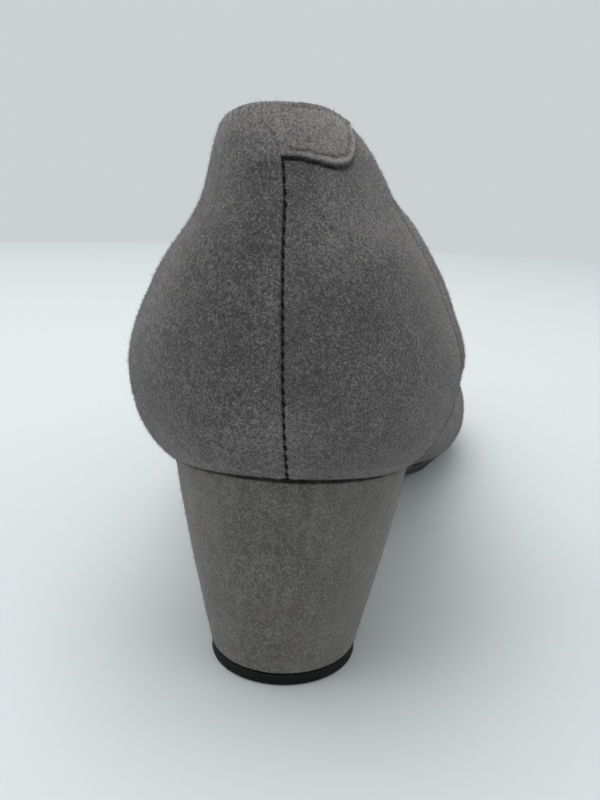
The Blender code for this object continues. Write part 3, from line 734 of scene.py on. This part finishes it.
def laid_out(tree, marks, shape, lean, seed, material, scale=(1, 1, 1)):
    """The end of a tree: a shape on every mark, leaning at random between two turns, made real."""
    turn = add(tree, "FunctionNodeRandomValue", {"Min": lean[0], "Max": lean[1], "Seed": seed},
               data_type="FLOAT_VECTOR").outputs["Value"]
    turn = add(tree, "FunctionNodeRotateRotation", {"Rotation": marks.outputs["Rotation"], "Rotate By": turn},
               rotation_space="LOCAL").outputs["Rotation"]
    laid = add(tree, "GeometryNodeInstanceOnPoints", {"Points": marks.outputs["Points"], "Instance": shape,
                                                      "Rotation": turn, "Scale": scale}).outputs["Instances"]
    real = add(tree, "GeometryNodeRealizeInstances", {"Geometry": laid}).outputs["Geometry"]
    done = add(tree, "GeometryNodeSetMaterial", {"Geometry": real, "Material": material}).outputs["Geometry"]
    add(tree, "NodeGroupOutput", {"Geometry": done})
    return tree


def hidden_base(name, points, faces=(), edges=()):
    """A mesh that a tree grows on and that is removed afterwards."""
    mesh = bpy.data.meshes.new(name)
    mesh.from_pydata([tuple(p) for p in to_frame(points).tolist()], edges, [tuple(f) for f in faces])
    return linked(name, mesh)


# Materials

def new_material(name):
    """A material with its tree, its shader and the coordinates in which its patterns are measured."""
    material = bpy.data.materials.new(name)
    material.use_nodes = True
    tree = material.node_tree
    place = add(tree, "ShaderNodeTexCoord").outputs["Object"]
    return material, tree, tree.nodes["Principled BSDF"], place


def brushed_suede(name, dark, middle, light, streaks=0.0, stains=0.0):
    """Split hide, buffed to a short nap: it gives no gloss, mottles as its fibres lie one way or
    another, and goes pale at a grazing angle, which the sheen gives. Its points carry two values:
    "tone" makes it darker or paler, and "smooth" calms its nap."""
    material, tree, shader, place = new_material(name)
    # Noises by their size in millimetres, detail, roughness, twist and share of the nap's height. Hairs are
    # finer than 0.36 mm and are drawn coarser so that they show. A curl is a winding strand 0.3 mm wide,
    # where its noise passes the middle. Patches are pressed one way, and clouds were brushed.
    grains = {"hair": (0.36, 2.0, 0.7, 0.3, 0.58), "curl": (1.25, 1.0, 0.5, 0.9, 0.1),
              "patch": (4.2, 3.0, 0.6, 0.8, 0.08), "cloud": (26, 2.0, 0.55, 0.0, 0.17)}
    smooth = add(tree, "ShaderNodeAttribute", attribute_name="smooth").outputs["Fac"]
    height = 0.0
    for label, (size, detail, rough, twist, share) in grains.items():
        grain = add(tree, "ShaderNodeTexNoise", {"Vector": place, "Scale": 1 / (size * MM), "Detail": detail,
                                                 "Roughness": rough, "Distortion": twist}).outputs["Fac"]
        if label == "curl":
            off = add(tree, "ShaderNodeMath", {0: grain, 1: 0.5}, operation="SUBTRACT").outputs[0]
            off = add(tree, "ShaderNodeMath", {0: off}, operation="ABSOLUTE").outputs[0]
            curl = add(tree, "ShaderNodeMapRange", {"Value": off, "From Min": 0.0, "From Max": 0.13,
                                                    "To Min": 1.0, "To Max": 0.0}).outputs["Result"]
            grain = add(tree, "ShaderNodeMix", {"Factor": smooth, "A": curl, "B": 0.4}).outputs["Result"]
        height = add(tree, "ShaderNodeMath", {0: grain, 1: share, 2: height},
                     operation="MULTIPLY_ADD").outputs[0]
    # a point's tone makes the colour darker or paler: painted shade and highlights, and some of the suede's
    # own paler and darker places
    tone = add(tree, "ShaderNodeAttribute", attribute_name="tone").outputs["Fac"]
    toned = add(tree, "ShaderNodeMath", {0: tone, 1: TONE_REACH, 2: height},
                operation="MULTIPLY_ADD").outputs[0]
    # the near-black first colour is for painted shade: in the gap over the heel, under the tab's edge and in
    # the seam
    colour = add(tree, "ShaderNodeValToRGB", {"Fac": toned}, stops=(
        (0.0, "#0a0909"), (0.235, dark), (0.45, middle), (0.66, light), (0.95, "#bdb5ae"))).outputs["Color"]
    # Wear on a covered heel: vertical rubs 2.6 mm apart and 29 mm long, and faint brown marks 11 mm across
    for strength, squeeze, size, detail, rough, twist, low, high, shade in (
            (streaks, 0.09, 2.6, 3.0, 0.6, 0.0, 0.5, 0.75, "#83807b"),
            (stains, 1.0, 11, 5.0, 0.65, 0.6, 0.52, 0.68, "#5f574d")):
        if strength:
            drawn = add(tree, "ShaderNodeMapping", {"Vector": place, "Scale": (1.0, 1.0, squeeze)})
            mark = add(tree, "ShaderNodeTexNoise", {
                "Vector": drawn.outputs["Vector"], "Scale": 1 / (size * MM), "Detail": detail,
                "Roughness": rough, "Distortion": twist}).outputs["Fac"]
            mark = add(tree, "ShaderNodeMapRange", {"Value": mark, "From Min": low, "From Max": high,
                                                    "To Min": 0.0, "To Max": strength}).outputs["Result"]
            colour = add(tree, "ShaderNodeMix", {"Factor": mark, 6: colour, 7: linear(shade)},
                         data_type="RGBA").outputs[2]
    tree.links.new(colour, shader.inputs["Base Color"])
    bump = add(tree, "ShaderNodeBump", {"Height": height, "Strength": 1.0, "Distance": 0.5 * MM})
    tree.links.new(bump.outputs["Normal"], shader.inputs["Normal"])
    for label, value in {"Roughness": 0.95, "Specular IOR Level": 0.12, "Sheen Weight": 0.5,
                         "Sheen Roughness": 0.45, "Sheen Tint": linear("#c9c4c0")}.items():
        shader.inputs[label].default_value = value
    return material


def plain_finish(name, colour, paler, size, roughness, bump, gloss=0.5):
    """A dyed or moulded surface whose colour and height wander over grains of one size."""
    material, tree, shader, place = new_material(name)
    grain, wear = (add(tree, "ShaderNodeTexNoise", {
        "Vector": place, "Scale": 1 / (span * size), "Detail": detail, "Roughness": rough,
        "Distortion": twist}).outputs["Fac"]
        for span, detail, rough, twist in ((1, 5.0, 0.6, 0.0), (14, 4.0, 0.7, 1.0)))
    both = add(tree, "ShaderNodeMath", {0: grain, 1: wear}, operation="MULTIPLY").outputs[0]
    colours = add(tree, "ShaderNodeValToRGB", {"Fac": both}, stops=((0.16, colour), (0.44, paler)))
    tree.links.new(colours.outputs["Color"], shader.inputs["Base Color"])
    rough = add(tree, "ShaderNodeMapRange", {"Value": wear, "From Min": 0.3, "From Max": 0.7,
                                             "To Min": roughness - 0.1, "To Max": roughness + 0.1})
    tree.links.new(rough.outputs["Result"], shader.inputs["Roughness"])
    made = add(tree, "ShaderNodeBump", {"Height": grain, "Strength": 0.6, "Distance": bump})
    tree.links.new(made.outputs["Normal"], shader.inputs["Normal"])
    shader.inputs["Specular IOR Level"].default_value = gloss
    return material


suede = brushed_suede("grey brushed suede", "#292727", "#514f4f", "#8d8886")
# the same hide pulled tight over the heel: flatter, browner and rubbed
heel_suede = brushed_suede("worn grey suede on the heel", "#302e2d", "#5e5c5a", "#8c8884",
                           streaks=0.3, stains=0.45)
# loose fibres of the hide, dull and a little paler than what they stand on
nap = plain_finish("suede fibre", "#5f5d5c", "#8d8987", 0.8 * MM, 0.95, 0.01 * MM)
# twisted black thread, which the wax leaves dull
thread = plain_finish("waxed polyester thread", "#050505", "#111111", 0.3 * MM, 0.6, 0.03 * MM, gloss=0.1)
# finished hides with fine pores, which give a soft sheen: the lining's finer than the sock's
lining_leather = plain_finish("smooth pigskin lining", "#2b2a2b", "#3a3838", 0.7 * MM, 0.55, 0.05 * MM)
sock_leather = plain_finish("padded sock leather", "#262526", "#353333", 0.9 * MM, 0.5, 0.06 * MM)
# moulded rubbers, matt black: the top piece is rougher where it has walked
sole_rubber = plain_finish("moulded sole rubber", "#151515", "#242323", 0.5 * MM, 0.6, 0.05 * MM)
top_rubber = plain_finish("worn top piece rubber", "#060606", "#1b1a19", 0.45 * MM, 0.7, 0.08 * MM, gloss=0.2)


# The upper: suede outside, lining inside

throat = throat_station()
points, faces, facts, loops = upper_surface(throat)
out = normals_of(points, faces)
relief = upper_relief(facts, points)
tone = upper_tone(facts)
# the inner quarter was buffed smoother than the outer one and the tab
on_tab = ramp(0.5 + facts["inside"] / MM) * facts["near_tab"]
smooth = INNER_SMOOTHNESS * (facts["side"] > 0) * rise(facts["around"], 0, 1.5 * MM) * (1 - on_tab)
skin, skin_faces = shell(points, faces, out, loops, relief, SUEDE)
spare = len(skin) - 2 * len(points)
marks = {"tone": np.concatenate([tone, 0 * tone, np.full(spare, COLLAR_EDGE_TONE)]),
         "smooth": np.concatenate([smooth, smooth, np.zeros(spare)])}
dress(plain_mesh("upper_suede", skin, skin_faces, suede, marks), "upper")


# The lining stops short of the collar, under the folded edge of the suede

def lining_shell():
    """The lining: a thin closed shell inside the suede, from the foot to the folded edge."""
    keep = (facts["down"] > COLLAR_FOLD) | (points[:, 1] > throat)
    inside = faces[keep[faces].all(axis=1)]
    edges = np.sort(np.concatenate([inside[:, [i, (i + 1) % 4]] for i in range(4)]), axis=1)
    pairs, count = np.unique(edges, axis=0, return_counts=True)
    rim = pairs[count == 1]
    high = points - out * (SUEDE + LINING_CLEARANCE)
    low = points - out * UPPER_WALL
    total = len(points)
    walls = np.column_stack([rim[:, 0], rim[:, 1], rim[:, 1] + total, rim[:, 0] + total])
    return np.concatenate([high, low]), np.concatenate([inside, inside[:, ::-1] + total, walls])


dress(plain_mesh("lining", *lining_shell(), lining_leather), "upper")


# The back seam's stitches, in the groove from the tab down to the heel

def seam_line():
    """Points down the back seam's groove, from under the tab to the foot."""
    on_seam = np.nonzero((facts["around"] == 0) & (facts["rear"] > 0))[0]
    on_seam = on_seam[np.argsort(facts["down"][on_seam])]
    on_seam = on_seam[facts["down"][on_seam] > TAB_DEPTH_AT_SEAM + FIRST_STITCH_DROP]
    return points[on_seam] + out[on_seam] * (relief[on_seam] + STITCH_LIFT)[:, None]


def stitch_tree():
    """Stitches laid end to end on a line, each a small six-sided rod that leans a little."""
    tree, sizes = new_tree("back seam stitches", {"Pitch": STITCH_PITCH, "Thickness": STITCH_THICKNESS})
    line = add(tree, "GeometryNodeMeshToCurve", {"Mesh": sizes["Geometry"]}).outputs["Curve"]
    marks = add(tree, "GeometryNodeCurveToPoints", {"Curve": line, "Length": sizes["Pitch"]}, mode="LENGTH")
    length, half = (add(tree, "ShaderNodeMath", {0: size, 1: share}, operation="MULTIPLY").outputs[0]
                    for size, share in ((sizes["Pitch"], STITCH_SHARE), (sizes["Thickness"], 0.5)))
    rod = add(tree, "GeometryNodeMeshCone", {"Vertices": 6, "Side Segments": 1, "Radius Top": half,
                                             "Radius Bottom": half, "Depth": length}).outputs["Mesh"]
    return laid_out(tree, marks, rod, ((-0.12, -0.34, -0.1), (0.12, -0.14, 0.1)), 7, thread)


line = seam_line()
base = hidden_base("seam line", line, edges=[(i, i + 1) for i in range(len(line) - 1)])
stitches = grown("back_seam_stitches", base, stitch_tree(), thread)
bpy.data.objects.remove(base)
dress(stitches, "upper")


# The nap: fibres scattered over the suede

def nap_tree(seed):
    """Fibres on a surface: thin closed spikes of uneven length that lean away from its normal."""
    tree, sizes = new_tree(f"nap {seed}", {"Length": FIBRE_LENGTH, "Thickness": FIBRE_THICKNESS,
                                           "Density": FIBRES_PER_MM2 / MM ** 2})
    share = add(tree, "GeometryNodeInputNamedAttribute", {"Name": "nap"},
                data_type="FLOAT").outputs["Attribute"]
    density, half = (add(tree, "ShaderNodeMath", {0: size, 1: times}, operation="MULTIPLY").outputs[0]
                     for size, times in ((share, sizes["Density"]), (sizes["Thickness"], 0.5)))
    roots = add(tree, "GeometryNodeDistributePointsOnFaces", {"Mesh": sizes["Geometry"], "Density": density,
                                                              "Seed": seed}, distribute_method="RANDOM")
    spike = add(tree, "GeometryNodeMeshCone", {"Vertices": 3, "Side Segments": 1, "Radius Top": 0.0,
                                               "Radius Bottom": half, "Depth": sizes["Length"]},
                fill_type="NGON").outputs["Mesh"]
    # most fibres are short, and a few are up to 1.85 times the length
    long = add(tree, "FunctionNodeRandomValue", {"Min": 0.3, "Max": 1.0, "Seed": seed + 2},
               data_type="FLOAT").outputs[1]
    long = add(tree, "ShaderNodeMath", {0: long, 1: 2.0}, operation="POWER").outputs[0]
    long = add(tree, "ShaderNodeMath", {0: long, 1: 1.5, 2: 0.35}, operation="MULTIPLY_ADD").outputs[0]
    tall = add(tree, "ShaderNodeCombineXYZ", {"X": 1.0, "Y": 1.0, "Z": long}).outputs["Vector"]
    lean = (-FIBRE_LEAN, -FIBRE_LEAN, 0.0), (FIBRE_LEAN, FIBRE_LEAN, FIBRE_TURN)
    return laid_out(tree, roots, spike, lean, seed + 1, nap, tall)


def nap_on(name, surface, quads, thickness, seed, node):
    """The fibres that grow on some quads of a surface, as thick as each point's share says."""
    used, corners = np.unique(quads, return_inverse=True)
    ground = hidden_base(name + " ground", surface[used], corners.reshape(quads.shape))
    attribute = ground.data.attributes.new("nap", "FLOAT", "POINT")
    attribute.data.foreach_set("value", thickness[used].astype(np.float32))
    fibres = grown(name, ground, nap_tree(seed), nap)
    bpy.data.objects.remove(ground)
    dress(fibres, node)


# the nap is thin along the seam and gone in the shadow of the tab's edge
bare = 1 - 0.8 * mound(facts["around"], 0, 0.45 * MM) * facts["rear"]
bare *= 1 - facts["near_tab"] * mound(facts["inside"], -0.3 * MM, 0.4 * MM)
thick = np.concatenate([bare, 0 * bare, np.ones(spare)])
outside = np.array([face for face in skin_faces if thick[face].max() > 0])
rear = to_frame(skin)[outside].mean(axis=1)[:, 1] < REAR_NAP_END
nap_on("nap_of_counter", skin, outside[rear], COUNTER_NAP * thick, 11, "upper")
nap_on("nap_of_vamp", skin, outside[~rear], VAMP_NAP * thick, 23, "upper")


# Plates that follow the feather: the sock inside and the outsole

def foot_outline(stations, side, inset, inside=False):
    """The feather line in plan, moved inwards by an inset, and by the upper's wall when inside."""
    # the line's way is taken from three points close together at each station
    close = np.array([-0.02, 0, 0.02]) * MM
    rib, slopes = ribs((stations[:, None] + close).ravel().clip(0, FEATHER_LENGTH), side)
    line = rib[:, 0].reshape(len(stations), 3, 3)
    way = line[:, 2] - line[:, 0]
    outwards = np.cross(way, slopes[1::3, 0])
    upright = np.linalg.norm(outwards[:, :2], axis=1) / np.linalg.norm(outwards, axis=1)
    inset = inset + inside * UPPER_WALL / upright
    inwards = np.stack([-way[:, 1], way[:, 0]], 1) * side
    inwards /= np.linalg.norm(inwards, axis=1)[:, None]
    moved = line[:, 1, :2] + inwards * inset[:, None]
    ends = (stations <= 0) | (stations >= FEATHER_LENGTH)
    moved[ends, 0] = line[ends, 1, 0]
    moved[ends, 1] = line[ends, 1, 1] + (inset * np.where(stations <= 0, 1, -1))[ends]
    return moved


def plate(stations, profile, dish=0.0, inside=False):
    """A plate that follows the feather, its edge as a profile of insets and heights above it."""
    across = np.linspace(0, 1, PLATE_COLUMNS)[None, 1:-1, None]
    edges = {side: [] for side in (-1, 1)}
    for inset, lift in profile:
        for side in (-1, 1):
            flat = foot_outline(stations, side, inset, inside)
            edges[side].append(np.column_stack([flat, feather_height(flat[:, 1]) + lift(flat[:, 1])]))
    left, right = (np.stack(edges[side], 1) for side in (-1, 1))

    def between(a, b, lift, crown):
        flat = a[:, None, :2] * (1 - across) + b[:, None, :2] * across
        high = feather_height(flat[..., 1].ravel()).reshape(flat.shape[:2]) + lift(flat[..., 1])
        high = high + crown * 4 * across[..., 0] * (1 - across[..., 0])
        return np.concatenate([flat, high[..., None]], 2)

    top = between(left[:, 0], right[:, 0], profile[0][1], -dish)
    bottom = between(right[:, -1], left[:, -1], profile[-1][1], 0.0)
    ring = np.concatenate([top, right, bottom, left[:, ::-1]], 1)
    ids = np.arange(ring.shape[0] * ring.shape[1]).reshape(ring.shape[:2])
    flat_points = ring.reshape(-1, 3)
    first, quads, index = welded(flat_points, bands(ids[:-1], ids[1:]))
    return flat_points[first], [*quads, index[ids[0]], index[ids[-1]][::-1]]


def rounded_edge(top_inset, bottom_inset, top, bottom, radius):
    """A plate's edge profile from its top to its bottom with both corners rounded."""
    turns = np.linspace(0, np.pi / 2, ROUNDING_STEPS)
    upper_part = [(top_inset + radius * (1 - math.sin(a)), lambda y, a=a: top(y) - radius * (1 - math.cos(a)))
                  for a in turns]
    lower_part = [(bottom_inset + radius * (1 - math.cos(a)),
                   lambda y, a=a: bottom(y) + radius * (1 - math.sin(a))) for a in turns]
    return upper_part + lower_part


def stations_between(places, counts):
    """Stations along the shoe, so many in each span between two places."""
    spans = [np.linspace(a, b, count)[:-1] for a, b, count in zip(places, places[1:], counts)]
    return np.append(np.concatenate(spans), places[-1])


sock_stations = stations_between((0, HEEL_PIVOT, TOE_PIVOT, FEATHER_LENGTH), PLATE_STATIONS)
sock_edge = rounded_edge(GAP, 2 * GAP, lambda y: INSOLE_THICKNESS + 0 * y, lambda y: 0 * y, SOCK_ROUNDING)
sock = plain_mesh("padded_sock", *plate(sock_stations, sock_edge, SOCK_DISH, inside=True), sock_leather,
                  crisp=CRISP_ANGLE)
dress(sock, "insole")

sole_start = SEAT_LENGTH + GAP


def sole_underside(along):
    """How far the outsole's underside lies below the feather."""
    thick = rise(along, sole_start, TREAD_START - sole_start)
    return -GAP - SHANK_SOLE_THICKNESS - (SOLE_THICKNESS - SHANK_SOLE_THICKNESS) * thick


sole_stations = stations_between((sole_start, TOE_PIVOT, FEATHER_LENGTH), PLATE_STATIONS[1:])
sole_edge = rounded_edge(-SOLE_MARGIN, SOLE_FOOT_INSET, lambda y: -GAP + 0 * y, sole_underside, SOLE_ROUNDING)
sole = plain_mesh("thin_outsole", *plate(sole_stations, sole_edge), sole_rubber, crisp=CRISP_ANGLE)
dress(sole, "outsole")


# The covered heel and its top piece

def d_shape(half, back, depth, front, front_half, hollow):
    """A heel's plan: a rounded back, sides that run to the breast, a hollow breast, soft corners."""
    turn = np.linspace(-1, 1, 2 * HEEL_RING + 1) * np.pi / 2
    round_back = np.stack([half * np.sin(turn), back + depth * (1 - np.cos(turn))], 1)
    run = np.linspace(0, 1, HEEL_SIDE_RING)[1:, None]
    right = np.concatenate([half + (front_half - half) * run, back + depth + (front - back - depth) * run], 1)
    wide = np.linspace(1, -1, BREAST_RING)[1:-1]
    breast = np.stack([front_half * wide, front - hollow * (1 - wide ** 2)], 1)
    ring = np.concatenate([round_back, right, breast, right[::-1] * (-1, 1)])
    for _ in range(CORNER_PASSES):
        ring = (np.roll(ring, 1, 0) + 2 * ring + np.roll(ring, -1, 0)) / 4
    return ring


def inwards_by(ring, inset):
    """A ring of plan points moved inwards."""
    way = np.roll(ring, -1, 0) - np.roll(ring, 1, 0)
    side = np.stack([-way[:, 1], way[:, 0]], 1)
    return ring + side / np.linalg.norm(side, axis=1)[:, None] * inset


def stacked(rings):
    """A closed solid from rings of points, one above the other, with flat ends."""
    ids = np.arange(len(rings) * len(rings[0])).reshape(len(rings), -1)
    return np.concatenate(rings), [*bands(ids[:-1], ids[1:]), ids[0], ids[-1][::-1]]


def top_piece_plan():
    """The top piece's outline, which is also the heel's lower end."""
    half = TOP_PIECE_WIDTH / 2
    return d_shape(half, TOP_PIECE_SET_IN, TOP_PIECE_BACK_DEPTH, TOP_PIECE_SET_IN + TOP_PIECE_LENGTH,
                   half - BREAST_DRAW, BREAST_HOLLOW)


def heel_rings():
    """The heel from its top piece to the seat, rounded where the suede folds over at both ends."""
    low = top_piece_plan()
    seat = COUNTER_WIDTH / 2 * LAST_ROWS[1][LAST_COLUMNS.index("foot")] - SEAT_MARGIN
    high = d_shape(seat, SEAT_MARGIN, HEEL_PIVOT - SEAT_MARGIN, SEAT_LENGTH, seat - BREAST_DRAW,
                   BREAST_HOLLOW)
    bottom = TOP_PIECE_THICKNESS + GAP
    turns = np.linspace(0, np.pi / 2, ROUNDING_STEPS + 1)
    curve = [(HEEL_FOLD * (1 - math.sin(a)), HEEL_FOLD * (1 - math.cos(a))) for a in turns]
    rows = [(0.0, inset, lift) for inset, lift in curve]
    rows += [(share, 0.0, 0.0) for share in np.linspace(0, 1, HEEL_LEVELS)[1:-2]]
    rows += [(1.0, 0.0, -depth) for depth in HEEL_TOP_ROWS]
    rows += [(1.0, inset, -drop) for drop, inset in curve]
    for share, inset, lift in rows:
        flat = inwards_by(low + (high - low) * share, inset)
        flat[:, 0] *= 1 + HEEL_BELLY_SHARE * 4 * share * (1 - share)
        top = feather_height(flat[:, 1]) - GAP
        yield np.column_stack([flat, bottom + (top - bottom) * share + lift])


heel_points, heel_faces = stacked(list(heel_rings()))
# the cover is worn smooth towards the inner side, as walking rubs it
heel_worn = HEEL_WEAR_LEAST + HEEL_WEAR_MORE * rise(heel_points[:, 0], 0, 14 * MM)
heel_depth = feather_height(heel_points[:, 1]) - GAP - heel_points[:, 2]
# painted shade in the gap under the upper's edge, on the top of the heel
seat_shade = SEAT_LINE_SHADE + HEEL_GAP_SHADE * seat_gap_shade(heel_points[:, 0])
# painted shade over the heel's top 7 mm, under the counter's overhang
heel_shade = -HEEL_TOP_SHADE * ramp(1 - heel_depth / (7 * MM)) - seat_shade * mound(heel_depth, 0, 0.25 * MM)
heel = plain_mesh("covered_heel", heel_points, heel_faces, heel_suede,
                  {"tone": heel_shade, "smooth": heel_worn}, CRISP_ANGLE)
dress(heel, "heel_block")
heel_nap = (HEEL_NAP - WORN_HEEL_NAP_LOSS * heel_worn) * ramp(heel_depth / MM - 0.7)
walls = np.array([face for face in heel_faces if len(face) == 4])
nap_on("nap_of_heel", heel_points, walls, heel_nap, 37, "heel_block")


def top_piece_rings():
    """The top piece: a slab of rubber with its lower edge worn round and its upper one pressed."""
    # each ring by its inset and its height, in millimetres
    plan = top_piece_plan()
    thick = TOP_PIECE_THICKNESS / MM
    for inset, height in ((0.8, 0.0), (0.4, 0.1), (0.12, 0.3), (0.0, 0.7), (0.0, thick - 0.6),
                          (0.05, thick - 0.2), (0.3, thick)):
        yield np.column_stack([inwards_by(plan, inset * MM), np.full(len(plan), height * MM)])


top = plain_mesh("rubber_top_piece", *stacked(list(top_piece_rings())), top_rubber, crisp=CRISP_ANGLE)
dress(top, "top_piece")


# Floor, light and camera

def paper_floor():
    """A round of pale paper under the shoe."""
    work = bmesh.new()
    bmesh.ops.create_circle(work, cap_ends=True, segments=128, radius=FLOOR_RADIUS)
    mesh = bpy.data.meshes.new("floor")
    work.to_mesh(mesh)
    work.free()
    material = bpy.data.materials.new("matt white paper")
    material.use_nodes = True
    shader = material.node_tree.nodes["Principled BSDF"]
    shader.inputs["Base Color"].default_value = linear("#cfd3d4")
    shader.inputs["Roughness"].default_value = 0.8
    mesh.materials.append(material)
    linked("floor", mesh)


def soft_light(name, place, size, power):
    """A square soft box that faces the shoe."""
    light = bpy.data.lights.new(name, "AREA")
    light.size = size
    light.energy = power
    made = linked(name, light)
    made.location = place
    made.rotation_euler = (Vector(LIGHT_AIM) - Vector(place)).to_track_quat("-Z", "Y").to_euler()


def pale_world():
    """An even pale backdrop that lights the shoe from all round."""
    world = bpy.data.worlds.new("pale tent")
    world.use_nodes = True
    world.node_tree.nodes["Background"].inputs["Color"].default_value = linear("#dfe5e7")
    world.node_tree.nodes["Background"].inputs["Strength"].default_value = WORLD_STRENGTH
    bpy.context.scene.world = world


def camera():
    """The photograph's camera, which leans to one side, with a lens that fills the frame."""
    c, s = math.cos(CAMERA_YAW), math.sin(CAMERA_YAW)
    level = Vector((c, -s, 0))
    up = Vector((math.sin(CAMERA_PITCH) * s, math.sin(CAMERA_PITCH) * c, math.cos(CAMERA_PITCH)))
    up = up * math.cos(CAMERA_ROLL) - level * math.sin(CAMERA_ROLL)
    back = (Vector(CAMERA_AT) - Vector(CAMERA_AIM)).normalized()
    right = up.cross(back).normalized()
    turn = Matrix((right, back.cross(right), back)).transposed().to_4x4()
    data = bpy.data.cameras.new("camera")
    data.sensor_width = 36
    data.lens = CAMERA_LENS
    data.clip_start = 0.005
    made = linked("camera", data)
    made.matrix_world = Matrix.Translation(CAMERA_AT) @ turn
    bpy.context.scene.camera = made


paper_floor()
for name, (place, size, power) in LIGHTS.items():
    soft_light(name, place, size, power)
pale_world()
bpy.context.scene.view_settings.view_transform = "Standard"
camera()
